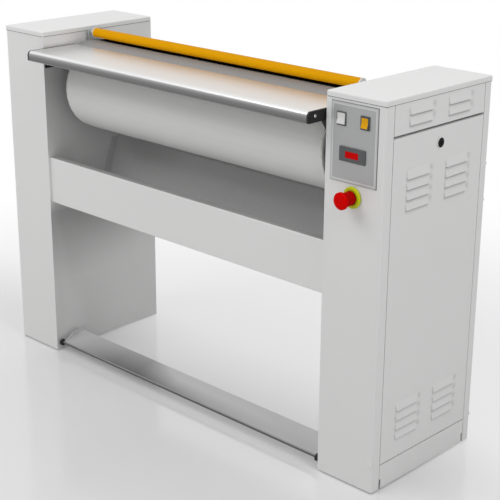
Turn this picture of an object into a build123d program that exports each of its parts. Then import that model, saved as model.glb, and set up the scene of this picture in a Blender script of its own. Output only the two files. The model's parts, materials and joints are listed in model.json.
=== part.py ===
from build123d import *
import math
import os

# Millimetres. X runs across the machine, the operator stands at -Y, Z is up.
# Columns
inner_width = 1148.0
column_width = 188.0
column_depth = 442.0
column_height = 1060.0
sheet = 2.0
outer_bend = 4.0
corner_wrap = 31.0
return_depth = 14.0
wall_flange = 16.0
rear_gap = 29.0
panel_gap = 2.0
ground_gap = 4.0
cap_height = 13.2
cap_overhang = 1.8
cap_wall = 4.0
cap_corner = 7.0
cap_round = 3.0
base_height = 30.0
base_sheet = 3.0
base_gap = 3.0
base_opening = (100.0, 150.0)
foot_radius = 18.0
foot_stem = 5.0
foot_reach = 20.0
foot_inset = (32.0, 36.0)

# Louvred side panels and access door
panel_joint_drop = 96.0
panel_joint_gap = 7.0
door_bottom = 77.0
door_bottom_gap = 3.5
louvre_width = 96.0
louvre_height = 23.0
louvre_pitch = 27.0
louvre_proud = 5.5
louvre_skin = 1.2
louvre_round = 10.0
louvre_columns = (-83.0, 79.0)
upper_louvre_drop = 46.0
door_louvre_drop = 210.0
door_lower_louvres = 214.0
hinge_inset = 7.0
hinge_rise = 5.0
hinge_pin = 4.0
hinge_tab = (6.0, 13.0)
lip_height = 16.0
foot_slot = (6.0, 32.0)
lock_offset = 3.0
lock_drop = 140.0
lock_radius = 14.5
lock_body = 11.0
lock_flange = 3.0
lock_depth = 20.0
lock_cam = (12.0, 55.0, 3.0)
lock_key = (5.0, 2.5, 1.5)

# Running fits, on the radius
fit = 0.05
soft_gap = 0.3

# Ironing roller
roller_offset = -43.0
roller_drop = 178.0
roller_tube = 125.0
roller_tube_wall = 4.0
roller_end_gap = 54.0
padding_thickness = 9.1
cover_thickness = 1.3
cover_lap = 4.0
journal_radius = 20.0
end_disc = 10.0
end_disc_inset = 4.0
journal_reach = 44.0
journal_end = 8.0
journal_hole = 32.0
bearing_flange = (120.0, 10.0)
bearing_hub = (36.0, 26.0)

# Belt drive in the left column
roller_pitch_radius = 100.0
motor_pitch_radius = 40.0
drive_drop = 322.0
belt_height = 8.0
belt_width = 13.0
belt_base = 9.0
groove_gap = 0.15
pulley_width = 24.0
pulley_offset = 64.0
pulley_web = 8.0
pulley_hub = 30.0
gearbox = (60.0, 110.0, 120.0)
motor_body = (48.0, 170.0)
output_shaft = 10.0
output_depth = 40.0
fin_count = 12
fin_height = 4.0

# Heated chest
chest_radius = 138.5
casting_thickness = 12.0
casting_arc = (-50.0, 78.0)
casting_lap = 2.0
heater_angles = (-38.0, -19.0, 0.0, 19.0, 38.0)
heater_span = 10.0
heater_inset = 22.0
heater_thickness = 8.0
box_radius = 187.0
box_arc = (-48.0, 44.0)
box_sheet = 2.0
cheek_gap = 14.0
cheek_thickness = 4.0
cheek_horn = (170.0, 94.0)
cheek_boss = 24.0
lip_arc = (78.0, 88.0)
lip_thickness = 3.5
pivot_back = 135.0
pivot_drop = 172.0
pivot_radius = 15.0
bush_radius = 22.0
bush_flange = (26.0, 4.0)
chest_gearbox = (58.0, 80.0)
chest_motor = (32.0, 110.0)
shaft_reach = 20.0

# Finger guard above the nip
guard_back = 3.0
guard_rise = 161.0
guard_radius = 14.5
guard_wall = 2.0
guard_end_gap = 15.5
guard_disc = (15.0, 3.5)
guard_stub = 5.0
guard_head = (8.0, 3.0)
guard_travel = 6.0

# Feed table
table_rise = 130.0
table_thickness = 30.0
table_overhang = 63.0
table_back_gap = 62.0
table_sheet = 2.0
table_gap = 5.0
table_cap = 6.0
table_nose_round = 12.0
table_return = 90.0
table_screw = (25.0, 13.0, 2.0)
guide_gap = 1.6
guide_rise = 1.0
guide_arc = (104.0, 93.0)
guide_end_gap = 3.0
bracket_drop = 32.0
bracket_reach = 21.0
bracket_setback = 4.0
bracket_back_gap = 25.0
bracket_sheet = 4.0

# Front crossbeam, linen tray and rear
apron_setback = 8.0
apron_drop = 366.0
apron_height = 148.0
apron_flange = 25.0
apron_lip = 14.0
tray_sheet = 1.5
tray_setback = 5.0
tray_floor_reach = 54.0
tray_slope = (110.0, 170.0)
tray_hem = 8.0
tray_rim = 14.0
tray_side = 26.0
rear_sheet_inset = 19.0
rear_sheet_rise = 93.0
rear_sheet_fold = 20.0
tie_size = 40.0
tie_wall = 3.0
tie_drop = 86.0

# Foot bar
foot_setback = 68.0
foot_rise = 45.0
foot_pin = 5.0
tread_fore = (52.0, 14.0)
tread_aft = (33.0, 5.0)
tread_gap = 12.0
tread_sheet = 2.0
tread_roll = 4.5
foot_arm = 4.0
foot_bush = (11.0, 8.0)
pin_reach = 28.0

# Controls on the right column
plate_inset = (18.0, 22.0)
plate_size = (147.0, 201.0)
plate_thickness = 2.0
rocker_frame = (29.0, 35.0)
rocker_opening = (24.0, 29.0)
rocker_wall = 1.5
rocker_depth = 24.0
rocker_inset = (51.0, 126.0)
rocker_drop = 63.0
rocker_tilt = -7.0
rocker_round = 14.3
bezel_inset = (48.0, 131.5)
bezel_size = (82.5, 37.5)
window_inset = (19.5, 10.0)
window_size = (42.5, 17.0)
bezel_proud = 4.0
bezel_body = (6.0, 18.0)
bezel_corner_round = 2.5
estop_inset = (92.0, 258.0)
estop_travel = 5.0
collar_radius = 28.0
collar_height = 6.0
collar_floor = 1.2
collar_well = 19.5
neck_radius = 15.0
neck_reach = 13.0
neck_depth = 22.0
stem_radius = 8.0
stem_depth = 8.0
skirt_radius = 18.0
skirt_bore = 15.5
skirt_length = 26.0
waist_radius = 16.5
mushroom_radius = 22.5
mushroom_reach = 50.0
mushroom_crown = (14.0, 1.5)
contact_block = (40.0, 30.0)
board_size = (300.0, 400.0)
board_gap = 60.0
contactor = (45.0, 75.0, 70.0)
contactor_step = (12.0, 18.0)
contactor_inset = 22.0
contactor_pitch_gap = 18.0
rail_size = (40.0, 40.0)
rail_rise = 60.0
gland_inset = (106.0, 150.0)
gland_nut = 15.0
gland_body = (10.0, 25.0)
gland_bore = 6.5
gland_reach = 12.0

# Places derived from the sizes above
wall_x = inner_width / 2
outer_x = wall_x + column_width
front_y = -column_depth / 2
rear_y = column_depth / 2
skin_top = column_height - cap_height
panel_front = front_y + corner_wrap + panel_gap
panel_rear = rear_y - rear_gap - panel_gap
panel_joint = column_height - panel_joint_drop
upper_louvres = column_height - upper_louvre_drop
door_upper_louvres = column_height - door_louvre_drop
lock_place = (lock_offset, column_height - lock_drop)

roller_axis = (roller_offset, column_height - roller_drop)
roller_length = inner_width - 2 * roller_end_gap
cover_length = roller_length + 2 * cover_lap
casting_length = roller_length + 2 * casting_lap
pivot = (roller_axis[0] + pivot_back, roller_axis[1] - pivot_drop)
cheek_inner = wall_x - cheek_gap - cheek_thickness
guard_axis = (roller_axis[0] + guard_back, roller_axis[1] + guard_rise)
guard_half = cheek_inner - guard_end_gap - guard_disc[1]
padding_inner = roller_tube + soft_gap
padding_outer = padding_inner + padding_thickness
cover_inner = padding_outer + soft_gap
cover_outer = cover_inner + cover_thickness
drive_axis = (roller_axis[0], roller_axis[1] - drive_drop)

table_top = roller_axis[1] + table_rise
table_nose = front_y - table_overhang
table_rear = roller_axis[0] - table_back_gap
table_half = wall_x - table_gap - table_cap
bracket_front = front_y + bracket_setback
bracket_rear = table_rear - bracket_back_gap
apron_front = front_y + apron_setback
apron_bottom = roller_axis[1] - apron_drop
tray_floor_end = roller_axis[0] + tray_floor_reach
tray_back = (roller_axis[0] + tray_slope[0], apron_bottom + tray_slope[1])
rear_sheet_place = rear_y - rear_sheet_inset
rear_sheet_top = roller_axis[1] + rear_sheet_rise
tie_bottom = apron_bottom - tie_drop
foot_pivot = (front_y + foot_setback, foot_rise)
tread_front = (foot_pivot[0] - tread_fore[0], foot_pivot[1] - tread_fore[1])
tread_rear = (foot_pivot[0] + tread_aft[0], foot_pivot[1] + tread_aft[1])
tread_half = wall_x - tread_gap - foot_arm

plate_corner = (wall_x + plate_inset[0], column_height - plate_inset[1])
plate_span = (
    plate_corner[0],
    plate_corner[0] + plate_size[0],
    plate_corner[1] - plate_size[1],
    plate_corner[1],
)
white_rocker_place = (wall_x + rocker_inset[0], column_height - rocker_drop)
amber_rocker_place = (wall_x + rocker_inset[1], column_height - rocker_drop)
bezel_corner = (wall_x + bezel_inset[0], column_height - bezel_inset[1])
bezel_span = (
    bezel_corner[0],
    bezel_corner[0] + bezel_size[0],
    bezel_corner[1] - bezel_size[1],
    bezel_corner[1],
)
window_corner = (bezel_span[0] + window_inset[0], bezel_span[2] + window_inset[1])
window_span = (
    window_corner[0],
    window_corner[0] + window_size[0],
    window_corner[1],
    window_corner[1] + window_size[1],
)
estop_place = (wall_x + estop_inset[0], column_height - estop_inset[1])
board_low = pivot[1] - board_gap - board_size[1]
gland_place = (wall_x + gland_inset[0], gland_inset[1])
rearmost = rear_y + gland_reach
frontmost = table_nose
centre_shift = -(rearmost + frontmost) / 2


def write(name, shape):
    export_step(Pos(0, centre_shift, 0) * shape, f"parts/{name}.step")


def block(x0, x1, y0, y1, z0, z1):
    middle = Pos((x0 + x1) / 2, (y0 + y1) / 2, (z0 + z1) / 2)
    return middle * Box(abs(x1 - x0), abs(y1 - y0), abs(z1 - z0))


def prism_x(face, x0, x1):
    return extrude(Plane.YZ.offset(x0) * face, amount=x1 - x0)


def prism_y(face, y0, y1):
    return extrude(Plane.XZ.offset(-y0) * face, amount=y0 - y1)


def prism_z(face, z0, z1):
    return extrude(Plane.XY.offset(z0) * face, amount=z1 - z0)


def bar_x(place, radius, x0, x1):
    return prism_x(Pos(*place) * Circle(radius), x0, x1)


def bar_y(place, radius, y0, y1):
    return prism_y(Pos(*place) * Circle(radius), y0, y1)


def tube_x(place, outer, inner, x0, x1):
    ring = Circle(outer) - Circle(inner)
    return prism_x(Pos(*place) * ring, x0, x1)


def mirrored(shape):
    return mirror(shape, about=Plane.YZ)


def group(shapes):
    return Compound([solid for shape in shapes for solid in shape.solids()])


def both(shape):
    return group([shape, mirrored(shape)])


def polygon(points):
    return make_face(Polyline(*points, close=True))


def span_face(span, corner=0.0):
    x0, x1, z0, z1 = span
    middle = Pos((x0 + x1) / 2, (z0 + z1) / 2)
    if corner:
        return middle * RectangleRounded(x1 - x0, z1 - z0, corner)
    return middle * Rectangle(x1 - x0, z1 - z0)


def ribbon(path, thickness, bend=0.0):
    # Section of a folded sheet: the path is one face, the other lies to its left
    normals = []
    for a, b in zip(path, path[1:]):
        run = math.dist(a, b)
        normals.append((-(b[1] - a[1]) / run, (b[0] - a[0]) / run))
    other = []
    tight = []
    wide = []
    for i, point in enumerate(path):
        before = normals[max(i - 1, 0)]
        after = normals[min(i, len(normals) - 1)]
        scale = thickness / (1 + before[0] * after[0] + before[1] * after[1])
        shifted = (
            point[0] + scale * (before[0] + after[0]),
            point[1] + scale * (before[1] + after[1]),
        )
        other.append(shifted)
        turn = before[0] * after[1] - before[1] * after[0]
        if abs(turn) > 0.05:
            inside = turn * thickness > 0
            tight.append(shifted if inside else point)
            wide.append(point if inside else shifted)
    face = polygon(list(path) + other[::-1])
    if bend:
        for corners, radius in ((wide, bend + abs(thickness)), (tight, bend)):
            picked = []
            for corner in corners:
                near = face.vertices().sort_by_distance(Vector(*corner, 0))
                picked.append(near[0])
            face = fillet(picked, radius)
    return face


def polar(centre, radius, angle):
    turn = math.radians(angle)
    return (centre[0] + radius * math.cos(turn), centre[1] + radius * math.sin(turn))


def sector(inner, outer, start, end):
    # Ring sector about the roller axis, angles from the rear horizontal
    sweep_angle = end - start
    rim = CenterArc(roller_axis, outer, start, sweep_angle)
    bore = CenterArc(roller_axis, inner, start, sweep_angle)
    first = Line(polar(roller_axis, inner, start), polar(roller_axis, outer, start))
    last = Line(polar(roller_axis, inner, end), polar(roller_axis, outer, end))
    return make_face(Curve() + [rim, bore, first, last])


# Right column, seen from the operator; the left one is its mirror image
def column_wall():
    path = [
        (wall_x + wall_flange, rear_y - sheet),
        (wall_x, rear_y - sheet),
        (wall_x, front_y + sheet),
        (wall_x + wall_flange, front_y + sheet),
    ]
    wall = prism_z(ribbon(path, sheet), ground_gap, skin_top)
    wall -= bar_x(roller_axis, journal_hole, wall_x - 1, wall_x + sheet + 1)
    wall -= bar_x(pivot, bush_radius, wall_x - 1, wall_x + sheet + 1)
    wall -= bar_x(foot_pivot, foot_pin + fit, wall_x - 1, wall_x + sheet + 1)
    return wall


def hinge_bore(y0, y1, gap):
    return bar_y((outer_x - hinge_inset, door_bottom + hinge_rise), hinge_pin + gap, y0, y1)


def front_skin():
    turn_in = front_y + corner_wrap
    path = [
        (wall_x, front_y),
        (outer_x, front_y),
        (outer_x, turn_in),
        (outer_x - return_depth, turn_in),
    ]
    face = ribbon(path[:3], sheet, outer_bend)
    fold = block(outer_x - return_depth, outer_x - sheet, turn_in - sheet, turn_in, ground_gap, skin_top)
    return prism_z(face, ground_gap, skin_top) + fold


def rear_skin():
    turn_in = rear_y - rear_gap
    path = [(outer_x, turn_in), (outer_x, rear_y), (wall_x, rear_y)]
    face = ribbon(path, sheet, outer_bend)
    fold = block(outer_x - return_depth, outer_x - sheet, turn_in, turn_in + sheet, ground_gap, skin_top)
    return prism_z(face, ground_gap, skin_top) + fold


def control_cutouts(y0, y1):
    holes = []
    for place in (white_rocker_place, amber_rocker_place):
        wide = rocker_opening[0] + 2 * rocker_wall
        high = rocker_opening[1] + 2 * rocker_wall
        holes.append(prism_y(Pos(*place) * Rectangle(wide, high), y0, y1))
    x0, x1, z0, z1 = bezel_span
    inset = bezel_body[0]
    holes.append(block(x0 + inset, x1 - inset, y0, y1, z0 + inset, z1 - inset))
    holes.append(bar_y(estop_place, neck_radius, y0, y1))
    return holes


def cap():
    wide = column_width + 2 * cap_overhang
    deep = column_depth + 2 * cap_overhang
    middle = Pos(wall_x + column_width / 2, 0)
    outline = middle * RectangleRounded(wide, deep, cap_corner)
    lid = prism_z(outline, skin_top, column_height)
    lid = fillet(lid.faces().sort_by(Axis.Z)[-1].edges(), cap_round)
    hollow = middle * RectangleRounded(wide - 2 * cap_wall, deep - 2 * cap_wall, cap_corner - 3)
    return lid - prism_z(hollow, skin_top - 1, column_height - cap_wall)


def base_frame():
    top = ground_gap + base_height
    depth = column_depth / 2 - 2 * sheet
    x0 = wall_x + sheet
    x1 = outer_x - return_depth - base_gap
    tray = block(x0, x1, -depth, depth, ground_gap, top)
    inner = depth - base_sheet
    tray -= block(x0 + base_sheet, x1 - base_sheet, -inner, inner, ground_gap + base_sheet, top + 1)
    middle = (x0 + x1) / 2
    for side in (-1, 1):
        centre_y = side * (base_opening[1] / 2 + 10)
        tray -= Pos(middle, centre_y, ground_gap) * Box(base_opening[0], base_opening[1], 4 * base_sheet)
    for spot in foot_places():
        tray -= Pos(*spot, ground_gap) * Cylinder(foot_stem + fit, 4 * base_sheet)
    return tray


def foot_places():
    near = wall_x + foot_inset[0]
    far = outer_x - return_depth - base_gap - foot_inset[0]
    depth = column_depth / 2 - foot_inset[1]
    return [(x, y) for x in (near, far) for y in (-depth, depth)]


def levelling_feet():
    feet = []
    for spot in foot_places():
        pad = prism_z(Pos(*spot) * Circle(foot_radius), 0, ground_gap)
        stem = prism_z(Pos(*spot) * Circle(foot_stem), ground_gap, ground_gap + foot_reach)
        feet.append(pad + stem)
    return group(feet + [mirrored(foot) for foot in feet])


# Louvres: a hood pressed outwards, open along its lower edge
def louvre_form(inset, open_below):
    half = louvre_width / 2 - inset
    high = louvre_height - inset
    outline = polygon([(-half, -open_below), (half, -open_below), (half, high), (-half, high)])
    tops = outline.vertices().sort_by(Axis.Y)[-2:]
    outline = fillet(tops, louvre_round - inset)
    front = outer_x + louvre_proud - inset
    upright = prism_x(outline, outer_x - sheet - 1, front)
    slope = polygon([
        (outer_x - 3 * sheet, -open_below - 1),
        (front, -open_below - 1),
        (front, 3.0),
        (outer_x - inset, high),
        (outer_x - 3 * sheet, high),
    ])
    return upright & prism_y(slope, -half - 1, half + 1)


def add_louvres(panel, lowest_edges):
    room = louvre_width
    hood = louvre_form(0, 0) & block(outer_x - sheet, outer_x + room, -room, room, -room, room)
    void = louvre_form(louvre_skin, sheet)
    hood -= void
    spots = [Pos(0, y, z) for y in louvre_columns for z in lowest_edges]
    opening = void & block(outer_x - sheet - 1, outer_x, -room, room, 0, room)
    panel -= [spot * opening for spot in spots]
    return panel + [spot * hood for spot in spots]


def side_panel(z0, z1, folds_below=True):
    outer = block(outer_x - sheet, outer_x, panel_front, panel_rear, z0, z1)
    inner_x = outer_x - return_depth
    for y in (panel_front, panel_rear - sheet):
        outer += block(inner_x, outer_x - sheet, y, y + sheet, z0, z1)
    outer += block(inner_x, outer_x - sheet, panel_front, panel_rear, z1 - sheet, z1)
    if folds_below:
        outer += block(inner_x, outer_x - sheet, panel_front, panel_rear, z0, z0 + sheet)
    return outer


def upper_panel():
    z0 = panel_joint + panel_joint_gap / 2
    panel = side_panel(z0, skin_top)
    inner_x = outer_x - return_depth
    panel += block(inner_x, inner_x + sheet, panel_front, panel_rear, z0, z0 + lip_height)
    edges = [upper_louvres - louvre_pitch * k for k in range(2)]
    return add_louvres(panel, edges)


def door():
    top = panel_joint - panel_joint_gap / 2
    panel = side_panel(door_bottom, top)
    edges = [door_upper_louvres - louvre_pitch * k for k in range(4)]
    edges += [door_lower_louvres - louvre_pitch * k for k in range(4)]
    panel = add_louvres(panel, edges)
    deep, high = hinge_tab
    tab_x = outer_x - return_depth
    for y in (panel_front + sheet, panel_rear - sheet - deep):
        panel += block(tab_x, outer_x - sheet, y, y + deep, door_bottom, door_bottom + high)
    panel -= hinge_bore(panel_front - 1, panel_rear + 1, fit)
    panel -= bar_x(lock_place, lock_body + fit, outer_x - sheet - 1, outer_x + 1)
    return panel


def door_pins():
    long_front = hinge_bore(front_y + corner_wrap - 8, panel_front + sheet + hinge_tab[0], 0)
    long_rear = hinge_bore(panel_rear - sheet - hinge_tab[0], rear_y - rear_gap + 8, 0)
    return group([long_front, long_rear])


def kick_panel():
    top = door_bottom - door_bottom_gap
    panel = side_panel(ground_gap, top, folds_below=False)
    wide, high = foot_slot
    inner_x = outer_x - return_depth - 1
    panel -= block(inner_x, outer_x + 1, panel_front - 1, panel_front + wide, 0, high)
    panel -= block(inner_x, outer_x + 1, panel_rear - wide, panel_rear + 1, 0, high)
    x0 = outer_x - return_depth + sheet
    for y in (panel_front - panel_gap, panel_rear):
        panel += block(x0, outer_x - 2 * sheet, y, y + panel_gap, high + 10, high + 22)
    return panel


def door_lock():
    face = outer_x + lock_flange
    inner = outer_x - lock_depth
    flange = bar_x(lock_place, lock_radius, outer_x, face)
    body = bar_x(lock_place, lock_body, inner, outer_x)
    wide, reach, thick = lock_cam
    y, z = lock_place
    cam = block(inner - thick, inner, y - wide / 2, y + reach, z - wide / 2, z + wide / 2)
    lock = flange + body + cam
    recess, key, tall = lock_key
    slot = bar_x(lock_place, recess, outer_x + 1, face + 1)
    pin = bar_x(lock_place, key, outer_x + 1, outer_x + 1 + tall)
    return lock - slot + pin


# Between the columns
def front_apron():
    rear = apron_front + apron_flange
    top = apron_bottom + apron_height
    path = [
        (rear, top - apron_lip),
        (rear, top),
        (apron_front, top),
        (apron_front, apron_bottom),
        (rear, apron_bottom),
    ]
    beam = prism_x(ribbon(path, sheet, 2.0), -wall_x + sheet, wall_x - sheet)
    end = [(apron_front, apron_bottom), (rear, apron_bottom), (rear, top), (apron_front, top)]
    flange = prism_x(polygon(end), wall_x - sheet, wall_x)
    return beam + flange + mirrored(flange)


def linen_tray():
    front = apron_front + tray_setback
    low = apron_bottom + sheet
    back_y, back_z = tray_back
    path = [
        (front, low + tray_rim),
        (front, low),
        (tray_floor_end, low),
        tray_back,
        (back_y, back_z + tray_hem),
    ]
    half = wall_x - sheet
    body = prism_x(ribbon(path, tray_sheet), -half, half)
    side = [
        (front, low),
        (tray_floor_end, low),
        tray_back,
        (back_y - tray_side, back_z),
        (tray_floor_end - tray_side * 0.7, low + tray_side),
        (front, low + tray_side),
    ]
    wing = prism_x(polygon(side), half - tray_sheet, half)
    return body + wing + mirrored(wing)


def rear_cover():
    front = rear_sheet_place - rear_sheet_fold
    path = [(-wall_x, front), (-wall_x, rear_sheet_place), (wall_x, rear_sheet_place), (wall_x, front)]
    return prism_z(ribbon(path, -sheet, 1.0), tie_bottom + tie_size, rear_sheet_top)


def rear_tie_beam():
    rear = rear_sheet_place
    front = rear - tie_size
    top = tie_bottom + tie_size
    beam = block(-wall_x, wall_x, front, rear, tie_bottom, top)
    reach = wall_x + 1
    hollow = block(-reach, reach, front + tie_wall, rear - tie_wall, tie_bottom + tie_wall, top - tie_wall)
    return beam - hollow


def table_outline(shrink=0.0):
    low = table_top - table_thickness
    face = polygon([
        (table_rear - shrink, low + shrink),
        (table_rear - shrink, table_top - shrink),
        (table_nose + shrink, table_top - shrink),
        (table_nose + shrink, low + shrink),
    ])
    upper = face.vertices().sort_by_distance(Vector(table_nose, table_top, 0))[0]
    face = fillet([upper], table_nose_round - shrink)
    lower = face.vertices().sort_by_distance(Vector(table_nose, low, 0))[0]
    return fillet([lower], 4.0 - shrink)


def feed_table():
    # Folded top with its nose rolled under, open below behind the nose
    shell = prism_x(table_outline() - table_outline(table_sheet), -table_half, table_half)
    end = table_half + 1
    under = table_top - table_sheet
    low = table_top - table_thickness - 1
    return shell - block(-end, end, table_nose + table_return, table_rear + 1, low, under)


def table_end_caps():
    cover = prism_x(table_outline(), table_half, table_half + table_cap)
    plug = prism_x(table_outline(table_sheet + fit), table_half - 15, table_half)
    screw_y, screw_drop, radius = table_screw
    spot = (table_nose + screw_y, table_top - screw_drop)
    cap_end = cover + plug - bar_x(spot, radius, table_half - 16, table_half + table_cap + 1)
    return both(cap_end)


def feed_guide():
    # Curved sheet that carries the linen from the table over the roller to the nip
    outer = cover_outer + guide_gap + table_sheet
    middle, last = guide_arc
    over = [
        (table_rear, table_top),
        polar(roller_axis, outer + guide_rise, middle),
        polar(roller_axis, outer, last),
    ]
    under = [(y, z - table_sheet) for y, z in over]
    ends = [Line(over[0], under[0]), Line(over[2], under[2])]
    section = make_face(Curve() + [ThreePointArc(*over), ThreePointArc(*under), *ends])
    half = cheek_inner - guide_end_gap
    return prism_x(section, -half, half)


def table_brackets():
    low = table_top - table_thickness
    x0 = wall_x - bracket_reach
    leg = block(wall_x - bracket_sheet, wall_x, bracket_front, bracket_rear, low - bracket_drop, low)
    shelf = block(x0, wall_x, bracket_front, bracket_rear, low - bracket_sheet, low)
    gusset = polygon([(x0, low), (x0, low - bracket_sheet), (wall_x, low - bracket_drop), (wall_x, low)])
    web = prism_y(gusset, bracket_front, bracket_front + bracket_sheet)
    return both(leg + shelf + web)


# Roller, turning on flanged bearings
def roller_ends():
    half = roller_length / 2 - end_disc_inset
    disc_radius = roller_tube - roller_tube_wall - fit
    hub = bar_x(roller_axis, 2 * journal_radius, half - 2 * end_disc, half)
    disc = bar_x(roller_axis, disc_radius, half - end_disc, half)
    pulley_x = wall_x + pulley_offset
    right = disc + hub + bar_x(roller_axis, journal_radius, half, wall_x + journal_reach)
    left = disc + hub + bar_x(roller_axis, journal_radius, half, pulley_x + pulley_width + journal_end)
    return group([right, mirrored(left)])


def roller_cloth():
    half = cover_length / 2
    sleeve = tube_x(roller_axis, cover_outer, cover_inner, -half, half)
    turned = tube_x(roller_axis, cover_outer, roller_tube + 4, half - cover_thickness, half)
    return sleeve + turned + mirrored(turned)


def roller_bearings():
    x0 = wall_x + sheet
    wide, thick = bearing_flange
    hub, reach = bearing_hub
    plate = prism_x(Pos(*roller_axis) * RectangleRounded(wide, wide, 18), x0, x0 + thick)
    housing = plate + bar_x(roller_axis, hub, x0 + thick, x0 + thick + reach)
    housing -= bar_x(roller_axis, journal_radius + fit, x0 - 1, x0 + thick + reach + 1)
    return both(housing)


def pulley(place, pitch, bore, x0):
    # Web and rim with one wedge groove, the hub to one side
    rim = pitch + belt_height / 2
    middle = x0 + pulley_width / 2
    wheel = bar_x(place, rim, x0, x0 + pulley_width)
    if pitch > 2 * pulley_hub:
        for side in (x0 - 1, middle + pulley_web / 2):
            recess = tube_x(place, rim - 22, pulley_hub, side, side + pulley_width / 2 - pulley_web / 2 + 1)
            wheel -= recess
    outer = belt_width / 2 + groove_gap
    inner = belt_base / 2 + groove_gap
    depth = belt_height + 2
    groove = polygon([(-outer, rim), (outer, rim), (outer, rim + 2), (-outer, rim + 2)])
    flank = polygon([(-outer, rim), (outer, rim), (inner, rim - depth), (-inner, rim - depth)])
    cutter = Plane.XY * (groove + flank)
    ring = revolve(cutter, axis=Axis.X)
    wheel -= Pos(middle, place[0], place[1]) * ring
    if bore:
        wheel -= bar_x(place, bore, x0 - 1, x0 + pulley_width + 1)
    return wheel


def drive_belt():
    lean = math.degrees(math.asin((roller_pitch_radius - motor_pitch_radius) / drive_drop))
    top = CenterArc(roller_axis, roller_pitch_radius, -lean, 180 + 2 * lean)
    low = CenterArc(drive_axis, motor_pitch_radius, 180 + lean, 180 - 2 * lean)
    down = Line(top @ 1, low @ 0)
    up = Line(low @ 1, top @ 0)
    middle = -(wall_x + pulley_offset + pulley_width / 2)
    route = Plane.YZ.offset(middle) * Wire([*top.edges(), *down.edges(), *low.edges(), *up.edges()])
    start = route @ 0
    centre = Vector(middle, *roller_axis)
    outward = (start - centre).normalized()
    section_plane = Plane(origin=start, x_dir=(1, 0, 0), z_dir=Vector(1, 0, 0).cross(outward))
    half_outer = belt_width / 2
    half_inner = belt_base / 2
    tall = belt_height / 2
    wedge = polygon([(-half_outer, tall), (half_outer, tall), (half_inner, -tall), (-half_inner, -tall)])
    return sweep(section_plane * wedge, path=route)


def gear_motor():
    x0 = wall_x + sheet
    deep, wide, high = gearbox
    y, z = drive_axis
    case = block(x0, x0 + deep, y - wide / 2, y + wide / 2, z - high / 2, z + high / 2)
    case = fillet(case.edges().filter_by(Axis.X), 12)
    case -= bar_x(drive_axis, output_shaft + fit, x0 + deep - output_depth, x0 + deep + 1)
    radius, length = motor_body
    top = z - high / 2
    spot = Pos(x0 + radius + fin_height, y)
    outline = Circle(radius)
    for k in range(fin_count):
        fin = Pos(radius - 1 + fin_height / 2, 0) * Rectangle(fin_height + 2, 3)
        outline += Rot(0, 0, k * 360 / fin_count) * fin
    motor = prism_z(spot * outline, top - length, top)
    motor += prism_z(spot * Circle(radius + 1), top - length - 30, top - length)
    return mirrored(case + motor)


def motor_pulley():
    x0 = wall_x + pulley_offset
    wheel = pulley(drive_axis, motor_pitch_radius, 0, x0)
    shaft = bar_x(drive_axis, output_shaft, wall_x + sheet + gearbox[0] - output_depth + 4, x0)
    return mirrored(wheel + shaft)


# Heated chest behind the roller
def chest_casting():
    half = casting_length / 2
    body = sector(chest_radius, chest_radius + casting_thickness, *casting_arc)
    return prism_x(body, -half, half)


def chest_lip():
    half = casting_length / 2 - 2
    blade = sector(chest_radius, chest_radius + lip_thickness, *lip_arc)
    return prism_x(blade, -half, half)


def chest_heaters():
    base = chest_radius + casting_thickness
    half = casting_length / 2 - heater_inset
    strips = []
    for angle in heater_angles:
        face = sector(base, base + heater_thickness, angle - heater_span / 2, angle + heater_span / 2)
        strips.append(prism_x(face, -half, half))
    return group(strips)


def chest_insulation():
    inner = chest_radius + casting_thickness + heater_thickness + soft_gap
    outer = box_radius - box_sheet - soft_gap
    blanket = sector(inner, outer, box_arc[0] + 1, box_arc[1] - 1)
    return prism_x(blanket, -cheek_inner + soft_gap, cheek_inner - soft_gap)


def chest_box():
    inner = chest_radius + casting_thickness
    start, end = box_arc
    fold = math.degrees(box_sheet / box_radius)
    shell = sector(box_radius - box_sheet, box_radius, start, end)
    shell += sector(inner, box_radius - box_sheet / 2, start, start + fold)
    shell += sector(inner, box_radius - box_sheet / 2, end - fold, end)
    return prism_x(shell, -cheek_inner, cheek_inner)


def chest_cheeks():
    inner = chest_radius + 1
    horn, horn_end = cheek_horn
    face = sector(inner, box_radius, casting_arc[0], 45)
    face += sector(inner, horn, 45 - 1, horn_end)
    arm = [
        polar(roller_axis, inner + 10, casting_arc[0]),
        polar(roller_axis, box_radius - 1, -15),
        (pivot[0] + 22, pivot[1] + 8),
        (pivot[0] - 20, pivot[1] - 8),
    ]
    face += polygon(arm) + Pos(*pivot) * Circle(cheek_boss)
    cheek = prism_x(face, cheek_inner, cheek_inner + cheek_thickness)
    x0 = cheek_inner - 1
    x1 = cheek_inner + cheek_thickness + 1
    cheek -= bar_x(pivot, pivot_radius, x0, x1)
    slot = bar_x(guard_axis, guard_stub + fit, x0, x1)
    slot += bar_x((guard_axis[0] + guard_travel, guard_axis[1]), guard_stub + fit, x0, x1)
    y, z = guard_axis
    slot += block(x0, x1, y, y + guard_travel, z - guard_stub - fit, z + guard_stub + fit)
    return both(cheek - slot)


def pivot_bushes():
    flange, thick = bush_flange
    ring = tube_x(pivot, flange, pivot_radius + fit, wall_x - thick, wall_x)
    sleeve = tube_x(pivot, bush_radius, pivot_radius + fit, wall_x, wall_x + sheet + 1)
    collar = tube_x(pivot, flange, pivot_radius + fit, wall_x + sheet, wall_x + sheet + thick)
    right = ring + sleeve + collar
    left = ring + tube_x(pivot, bush_radius, pivot_radius + fit, wall_x, wall_x + sheet)
    return group([right, mirrored(left)])


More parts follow.
